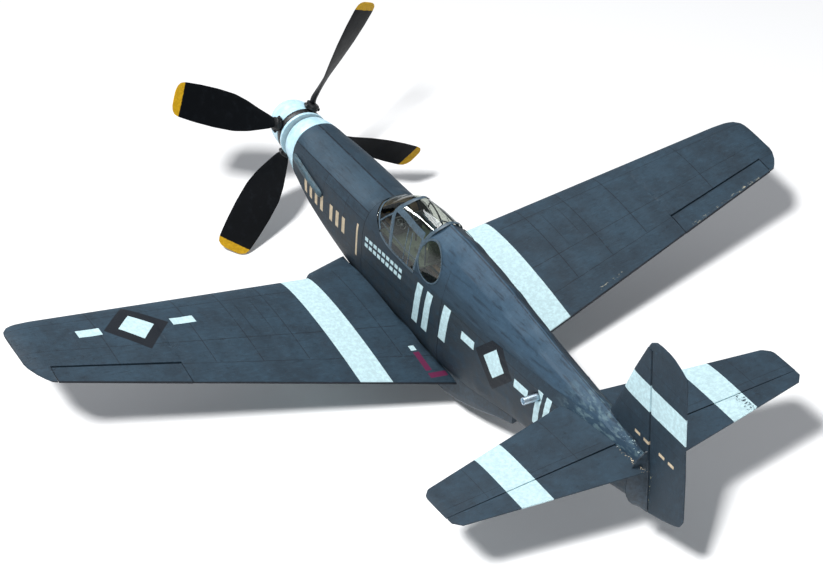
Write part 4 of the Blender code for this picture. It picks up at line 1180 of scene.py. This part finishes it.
def surface_pieces(materials):
    relief = rib_relief(0.16, 12.4, 64, 204)
    shares = share_steps(44)
    for label, side in (("left", 1), ("right", -1)):
        thick = np.array([-DIHEDRAL * side, 0.0, 1.0])
        low, high = node_mesh("wing_" + label)[0].min(0), node_mesh("wing_" + label)[0].max(0)
        root = np.abs([low[0], high[0]]).min() + 0.25
        tip = np.abs([low[0], high[0]]).max() - 0.5

        def wing_origin(station, side=side):
            return np.array([side * station, 0.0, -32.2 + DIHEDRAL * station - 3.0])

        cut = (AILERON_INNER - 0.22, AILERON_INNER - 0.18, AILERON_OUTER + 0.18, AILERON_OUTER + 0.22)
        stations = span_stations(root, tip - 0.8, 2.4, *cut, 42.2, 45.4, tip - 0.5, tip - 0.2, tip)
        loops = panel_loops("wing_" + label, stations, wing_origin, thick, shares, relief,
                            lambda station: 0.12 if AILERON_INNER < station < AILERON_OUTER else 0.0)
        loft("wing_panel_" + label, loops, materials["wing"], ["wing_" + label])
        stations = span_stations(AILERON_INNER + 0.02, AILERON_OUTER - 0.02, 3.2)
        loops = panel_loops("aileron_" + label, stations, wing_origin, thick, shares,
                            rib_relief(0.07, 10.6, AILERON_INNER, AILERON_OUTER))
        loft("aileron_panel_" + label, loops, materials["wing"], ["aileron_" + label], label + "_aileron")

        def stab_origin(station, side=side):
            return np.array([side * station, 0.0, 8.0 - 0.091 * side * station])

        flat = np.array([0.0, 0.0, 1.0])
        for kind, body, reach in (("stabilizer", "airframe", 0.1), ("elevator", "elevators", 0.0)):
            node = f"{kind}_{label}"
            points = np.abs(node_mesh(node)[0][:, 0])
            start, end = points.min(), points.max()
            stations = span_stations(start + 0.06, end - 0.6, 2.4, 93.0, end - 0.3, end - 0.03,
                                     *np.arange(start + 0.3, start + 5, 0.5))
            loops = panel_loops(node, stations, stab_origin, flat, share_steps(30),
                                rib_relief(0.09, 14.5, 10, 92), lambda station, reach=reach: reach)
            loft(f"{kind}_panel_{label}", loops, materials["tail"], [node], body)

    def fin_origin(station):
        return np.array([0.0, 0.0, station])

    sideways = np.array([1.0, 0.0, 0.0])
    for node, body, first, last in (("fin", "airframe", 14, 66), ("rudder", "rudder_body", -8, 68)):
        points = node_mesh(node)[0][:, 2]
        start, end = points.min(), points.max()
        if node == "fin":
            extra = np.arange(start + 0.4, start + 9, 0.7)
        else:
            extra = (69.35, 69.45, 69.85, 69.95, start + 0.8)
        stations = span_stations(start + 0.05, end - 0.7, 1.8, end - 0.3, end - 0.04, *extra)
        loops = panel_loops(node, stations, fin_origin, sideways, share_steps(28),
                            rib_relief(0.07, 13, first, last))
        loft(node + "_panel", loops, materials["fin"], [node], body)


def make_tail_end(paint):
    """The sternpost's fairing: it closes the body's rear down to the rudder's rounded nose."""
    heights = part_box("sternpost")
    low = heights[0].z / INCH + ORIGIN[2]
    angles = np.linspace(-90, 90, 181)
    radius = form.at(np.full(181, BODY_REAR), angles) - 0.25
    port, up = radius * np.cos(np.radians(angles)), AXIS_UP + radius * np.sin(np.radians(angles))
    loops = []
    for level in np.linspace(max(low, up.min() + 0.1), up.max() - 0.1, 40):
        wide = max(float(np.interp(level, up, port)), 0.3)
        rear = 339.6 - 0.138 * (level + 12.1) - 0.12
        thin = min(wide, 1.2)
        places = [(BODY_REAR - 0.3, wide), (BODY_REAR + 0.4, wide - 0.02),
                  ((BODY_REAR + rear) / 2, (wide + thin) / 2), (rear - 0.3, thin), (rear, thin - 0.15)]
        loops.append([row_point(port_at, aft, level) for aft, port_at in places]
                     + [row_point(-port_at, aft, level) for aft, port_at in reversed(places)])
    loft("tail_end_fairing", loops, paint, ["sternpost"])


def make_duct(name, node, paint):
    """A scoop whose walls run up into the belly, so that no daylight shows along its top."""
    points, corners = node_mesh(node)
    points = np.array(points)
    angle = np.degrees(np.arctan2(points[:, 2] - AXIS_UP, points[:, 0]))
    reach = np.hypot(points[:, 0], points[:, 2] - AXIS_UP)
    surface = form.at(points[:, 1], angle)
    near = reach < surface + 3.0
    inward = np.where(near, (surface - 0.3) / reach, 1.0)
    points[:, 0] *= inward
    points[:, 2] = AXIS_UP + (points[:, 2] - AXIS_UP) * inward
    piece(name, to_metres(points), corners.tolist(), paint, [node], sharp=28)


# ---------------- propeller
def spin_axis():
    joint = next(j for j in frame["joints"] if j["name"] == "propeller_spin")
    return np.array(joint["axis"]), np.array(joint["pos_m"]) / INCH + ORIGIN


def hub_frame():
    """The propeller's centre in inches and its forward, left and up directions."""
    forward, place = spin_axis()
    low, high = node_mesh("prop_hub")[0].min(0), node_mesh("prop_hub")[0].max(0)
    middle = (low + high) / 2
    centre = place + forward * ((middle - place) @ forward)
    up = np.array([0.0, 0.0, 1.0])
    left = np.cross(up, -forward)
    left /= np.linalg.norm(left)
    return centre, forward, left, up


def blade_directions():
    centre, forward, *_ = hub_frame()
    for number in range(1, 5):
        points = node_mesh(f"blade_{number}")[0]
        away = points.mean(0) - centre
        away -= forward * (away @ forward)
        yield number, centre, away / np.linalg.norm(away)


def make_blades():
    """Blades resampled into smooth sections: rounded leading edge, thin trailing edge."""
    forward = spin_axis()[0]
    for number, centre, outward in blade_directions():
        node = f"blade_{number}"
        points = node_mesh(node)[0]
        reach = (points - centre) @ outward
        ahead = np.cross(outward, forward)
        stations = np.r_[np.linspace(reach.min() + 0.15, 30, 12), np.linspace(31.5, reach.max() - 3.2, 34),
                         reach.max() - np.array([2.6, 2.1, 1.7, 1.2, 0.8, 0.45, 0.2, 0.05])]
        loops = []
        for station in stations:
            cut = section(node, centre + outward * station, outward)
            middle = cut.mean(0)
            flat = cut - middle
            axis = np.linalg.svd(flat, full_matrices=False)[2][0]
            axis *= math.copysign(1, axis @ ahead)
            lift = np.cross(outward, axis)
            along, height = flat @ axis, flat @ lift
            low, high = along.min(), along.max()
            shares = low + (high - low) * share_steps(20)
            loop = []
            base = np.interp(along, [low, high], [height[np.argmin(along)], height[np.argmax(along)]])
            ends = np.isin(np.round(along, 2), np.round([low, high], 2))
            for upper in (True, False):
                line = side_line(along, height, ((height >= base) == upper) | ends, shares, upper, 1.3)
                side = [middle + axis * a + lift * z for a, z in zip(shares, line)]
                loop += side[::-1] if upper else side[1:-1]
            loops.append(loop)
        loops = np.array(loops)
        loops[1:-8] = blur(loops, 0.8, 0)[1:-8]
        tip = float(reach.max()) - 4.9
        paint = blade_material(f"blade_paint_{number}", centre, outward, tip)
        loft(f"blade_{number}_skin", to_metres(loops), paint, [node], "propeller", 60)


def turned(name, centre, forward, left, up, profile, material, replaces=(), steps=72, sharp=35.0):
    """A solid of revolution on the propeller: profile holds (forward, radius) from end to end."""
    points = []
    for ahead, radius in profile:
        for step in range(steps):
            turn = 2 * math.pi * step / steps
            points.append(centre + forward * ahead + radius * (left * math.cos(turn) + up * math.sin(turn)))
    faces = grid_faces(len(profile), steps, 0, True)
    obj = piece(name, to_metres(points), faces, material, replaces, "propeller", sharp)
    clean(obj.data, weld=True)
    return obj


def make_hub(black):
    """Ferrules with clamp rings and bolts at each blade's root."""
    centre, forward, *_ = hub_frame()
    for number, _, outward in blade_directions():
        side = np.cross(outward, forward)
        profile = [(13.7, 0.0), (13.7, 3.5), (13.9, 3.8), (15.0, 3.8), (15.2, 3.45), (15.6, 3.4), (15.8, 3.7),
                   (16.5, 3.6), (16.9, 2.8), (16.9, 0.0)]
        turned(f"blade_ferrule_{number}", centre, outward, side, forward, profile, black, steps=40)
        for bolt, sign in enumerate((-1, 1), 1):
            head = centre + outward * 14.8 + side * sign * 3.7
            profile = [(-1.6, 0.0), (-1.6, 1.0), (1.4, 1.0), (1.7, 0.8), (1.8, 0.0)]
            turned(f"ferrule_bolt_{number}_{bolt}", head, forward, side, outward, profile, black, steps=6)


def make_spinner(pale):
    """A smooth dome over the hub's front, notched round each blade's socket."""
    centre, forward, left, up = hub_frame()
    points = node_mesh("spinner")[0]
    ahead = (points - centre) @ forward
    radial = np.linalg.norm(points - centre - forward * ahead[:, None], axis=1)
    base, tip = ahead.min(), ahead.max()
    waist = tip - 15.9
    profile = [(waist + 15.9 * math.cos(t), 13.2 * math.sin(t) ** 0.92)
               for t in np.linspace(0, math.pi / 2, 40)]
    profile += [(waist - 2.8, 13.3), (base + 0.12, radial.max() - 0.01), (base, radial.max() - 0.12),
                (base, 12.72)]
    profile += [(waist + 15.2 * math.cos(t), 12.5 * max(math.sin(t), 0) ** 0.92)
                for t in np.linspace(math.pi / 2, 0, 24)]
    dome = turned("spinner_dome", centre, forward, left, up, profile, pale, ["spinner"], 96, 50)
    for number, _, outward in blade_directions():
        ends = [Vector(to_metres(centre + outward * reach)) for reach in (9, 18)]
        cut_round(dome, f"socket_notch_{number}", *ends, 3.28)
    dome.data.shade_smooth()
    dome.data.set_sharp_from_angle(angle=math.radians(40))


# ---------------- cockpit
def make_cockpit(paints):
    low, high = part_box("instrument_panel")
    face = high.y + 0.0001
    width, height = high.x - low.x, high.z - low.z
    dials = ((-0.28, 0.70, 0.10), (0.0, 0.74, 0.11), (0.28, 0.70, 0.10), (-0.14, 0.40, 0.09),
             (0.14, 0.40, 0.09))
    for number, (across, rise, size) in enumerate(dials, 1):
        centre = Vector(((low.x + high.x) / 2 + across * width, face, low.z + rise * height))
        ring = [centre + Vector((math.cos(t), 0, math.sin(t))) * size * width
                for t in np.linspace(0, 2 * math.pi, 28, endpoint=False)]
        tube(f"dial_rim_{number}", ring, 0.18, paints["steel"], closed=True)
        point = Vector((size * 0.4 * width, 0.0001, size * 0.6 * width))
        needle = [centre + Vector((0, 0.0001, 0)), centre + point]
        tube(f"dial_needle_{number}", needle, 0.09, paints["pale"], sides=4)
    seat_low, seat_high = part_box("pilot_seat")
    for side in (-1, 1):
        x = side * 2.2 * INCH
        belt = [Vector((x, seat_high.y - 0.0042, seat_high.z - 0.001)),
                Vector((x * 1.1, seat_high.y - 0.0056, (seat_low.z + seat_high.z) / 2)),
                Vector((x * 1.0, seat_high.y - 0.0085, seat_low.z + 0.0052)),
                Vector((x * 0.5, seat_high.y - 0.0150, seat_low.z + 0.0050))]
        tube("seat_belt_" + ("left" if side > 0 else "right"), belt, 0.42, paints["webbing"], sides=6)
    rail = [row_point(port, aft, up) for port, aft, up in (
        (-8.5, 150.2, 8), (-8.8, 150.2, 20), (-6.0, 150.2, 29), (0, 150.2, 32.4), (6.0, 150.2, 29),
        (8.8, 150.2, 20), (8.5, 150.2, 8))]
    tube("crash_bow", rail, 0.45, paints["frame"])
    for side in (-1, 1):
        shelf = [row_point(side * 11.6, aft, up)
                 for aft, up in ((112, 12.2), (120, 11.0), (134, 9.6), (148, 9.6))]
        tube("side_rail_" + ("left" if side > 0 else "right"), shelf, 0.55, paints["frame"])
    grip = [row_point(0, 128.8, 15.2), row_point(0, 129.0, 18.2)]
    tube("stick_grip", grip, 0.8, paints["black"])


# ---------------- put together
def build():
    paint_body = body_material()
    paints = {
        "wing": wing_material(),
        "tail": tail_material(),
        "fin": fin_material(),
        "pale": pale_material("pale_paint"),
        "steel": plain_material("steel", (0.50, 0.52, 0.54), 0.30, 1.0, 3.0, 0.15),
        "black": plain_material("hub_black", BLACK, 0.42, 0.0, 1.2, 0.5, depth=0.0002),
        "frame": plain_material("frame_paint", (0.036, 0.066, 0.092), 0.45, 0.0, 1.0, 0.4),
        "webbing": plain_material("webbing", (0.42, 0.38, 0.28), 0.85, 0.0, 5.0, 0.3),
    }
    balsa = wood_material("balsa", BALSA)
    ply = wood_material("plywood", PLY)
    glass = glass_material("clear_sheet")
    make_cowl(paint_body)
    lining = plain_material("lining_green", (0.070, 0.088, 0.064), 0.75, 0.0, 0.6, 0.45)
    make_lower_skin("cockpit_covering", "cockpit_skin", COWL_REAR + 0.15, CABIN_REAR - 0.05, 70, paint_body,
                    lining)
    make_lower_skin("tail_covering", "tail_skin", CABIN_REAR + 0.1, BODY_REAR, 150, paint_body, balsa)
    make_deck(deck_material(), lining)
    hood = make_canopy(glass, glass_material("clear_sheet_inside", 0.12))
    make_canopy_frames(paints["frame"])
    make_window_rims(paints["frame"])
    surface_pieces(paints)
    make_blades()
    make_hub(paints["black"])
    make_spinner(paints["pale"])
    dress("nose_block", pale_material("nose_paint", 12.3), 0.25, 30)
    make_cockpit(paints)
    dress("spinner_backplate", paints["pale"], 0.2)
    dress("prop_hub", paints["black"], 0.2)
    for node in ("prop_shaft", "front_washer", "rear_washer", "elevator_joiner"):
        dress(node, paints["steel"])
    dress("thrust_bush", plain_material("brass", (0.62, 0.44, 0.17), 0.32, 1.0, 3.0, 0.15))
    aluminium = plain_material("peg_aluminium", (0.44, 0.54, 0.62), 0.34, 1.0, 2.0, 0.2, (0.2, 1, 1))
    dress("rear_peg", aluminium, 0.12)
    rubber = plain_material("rubber_strip", (0.25, 0.17, 0.09), 0.62, 0.0, 1.5, 0.3, (1, 0.2, 1))
    dress("rubber_motor", rubber)
    for node in ("windscreen_former", "cabin_former", "mid_former", "peg_former", "tail_former"):
        dress(node, balsa)
    for node in ("nose_former", "peg_plate_left", "peg_plate_right", "wing_joiner"):
        dress(node, ply)
    green = plain_material("cockpit_green", GREEN, 0.7, 0.0, 0.8, 0.4)
    dress("cockpit_floor", green)
    dress("pilot_seat", green, 0.3)
    leather = plain_material("headrest_leather", (0.10, 0.055, 0.025), 0.5, 0.0, 4.0, 0.35, depth=0.0003)
    dress("headrest", leather, 0.3)
    dress("instrument_panel", plain_material("panel_black", (0.045, 0.050, 0.052), 0.55, 0.0, 2.0, 0.4), 0.1)
    dress("control_stick", paints["black"])
    slate = plain_material("duct_paint", SLATE, 0.55, 0.0, 0.5, 0.4)
    make_duct("radiator_duct_skin", "radiator_duct", slate)
    make_duct("chin_intake_skin", "chin_intake", slate)
    make_tail_end(slate)
    teal = plain_material("exhaust_paint", (0.026, 0.058, 0.078), 0.6, 0.0, 0.7, 0.5, (1, 0.3, 1))
    for node in ("exhaust_left", "exhaust_right"):
        dress(node, teal, 0.35, 20)
    panes = [dress("quarter_window_" + label, glass) for label in ("left", "right")]
    return [hood, *panes]


CLEAR_PIECES = build()


# ---------------- stage
def make_stage():
    floor_up = CAD_BOX[0][2] - 0.003
    bpy.ops.mesh.primitive_plane_add(size=14, location=(0, 0, floor_up))
    floor = bpy.context.object
    floor.name = "floor"
    mat = Shader("floor_white", (0.90, 0.90, 0.90))
    mat.finish(0.95, sheen=0.0)
    floor.data.materials.append(mat.material)
    return floor


def add_light(name, direction, distance, size, power, colour=(1, 1, 1)):
    """An area light that looks at the middle of the model."""
    data = bpy.data.lights.new(name, "AREA")
    data.size = size
    data.energy = power
    data.color = colour
    obj = bpy.data.objects.new(name, data)
    bpy.context.scene.collection.objects.link(obj)
    toward = Vector(direction).normalized()
    obj.location = Vector((0, 0, 0.06)) + toward * distance
    obj.rotation_euler = toward.to_track_quat("Z", "Y").to_euler()
    return obj


def shine_on(light, objects, only):
    """Makes a light shine on these objects only, or on everything but them."""
    group = bpy.data.collections.new(light.name + "_receivers")
    for obj in objects:
        group.objects.link(obj)
    light.light_linking.receiver_collection = group
    for entry in group.collection_objects:
        entry.light_linking.link_state = "INCLUDE" if only else "EXCLUDE"


def add_camera():
    """The reference view: from behind, above and to the left, with a long lens."""
    data = bpy.data.cameras.new("camera")
    data.sensor_width = 36
    data.lens = 117.2
    data.clip_start = 0.05
    data.clip_end = 30
    obj = bpy.data.objects.new("camera", data)
    bpy.context.scene.collection.objects.link(obj)
    forward = Vector((-0.444, -0.690, -0.572)).normalized()
    up = Vector((-0.256, -0.514, 0.819))
    right = forward.cross(up).normalized()
    up = right.cross(forward)
    turn = Matrix((right, up, -forward)).transposed().to_4x4()
    obj.matrix_world = Matrix.Translation(row_point(617.4, 1085.3, 772.0)) @ turn
    bpy.context.scene.camera = obj


HOOD_GLINT = np.linspace((0.42, -0.86, 0.28), (0.63, -0.66, 0.40), 7)  # directions of its small lamps

stage_floor = make_stage()
for lamp in (add_light("key", (0.35, -0.60, 0.80), 2.0, 1.0, 36),
             add_light("fill", (1.0, 1.2, 0.8), 2.4, 1.8, 22, (0.92, 0.96, 1.0)),
             add_light("top", (0.15, -0.1, 1.0), 2.2, 1.6, 34)):
    shine_on(lamp, [stage_floor], False)
for number, direction in enumerate(HOOD_GLINT, 1):
    shine_on(add_light(f"hood_glint_{number}", direction, 2.2, 0.15, 2.4), CLEAR_PIECES, True)
shine_on(add_light("floor_key", (0.81, 0.72, 1.10), 3.4, 0.26, 190), [stage_floor], True)
add_camera()
bpy.context.scene.view_settings.view_transform = "Standard"
world = bpy.data.worlds.new("studio")
world.use_nodes = True
world.node_tree.nodes["Background"].inputs[0].default_value = (0.92, 0.95, 1.0, 1)
world.node_tree.nodes["Background"].inputs[1].default_value = 0.36
bpy.context.scene.world = world
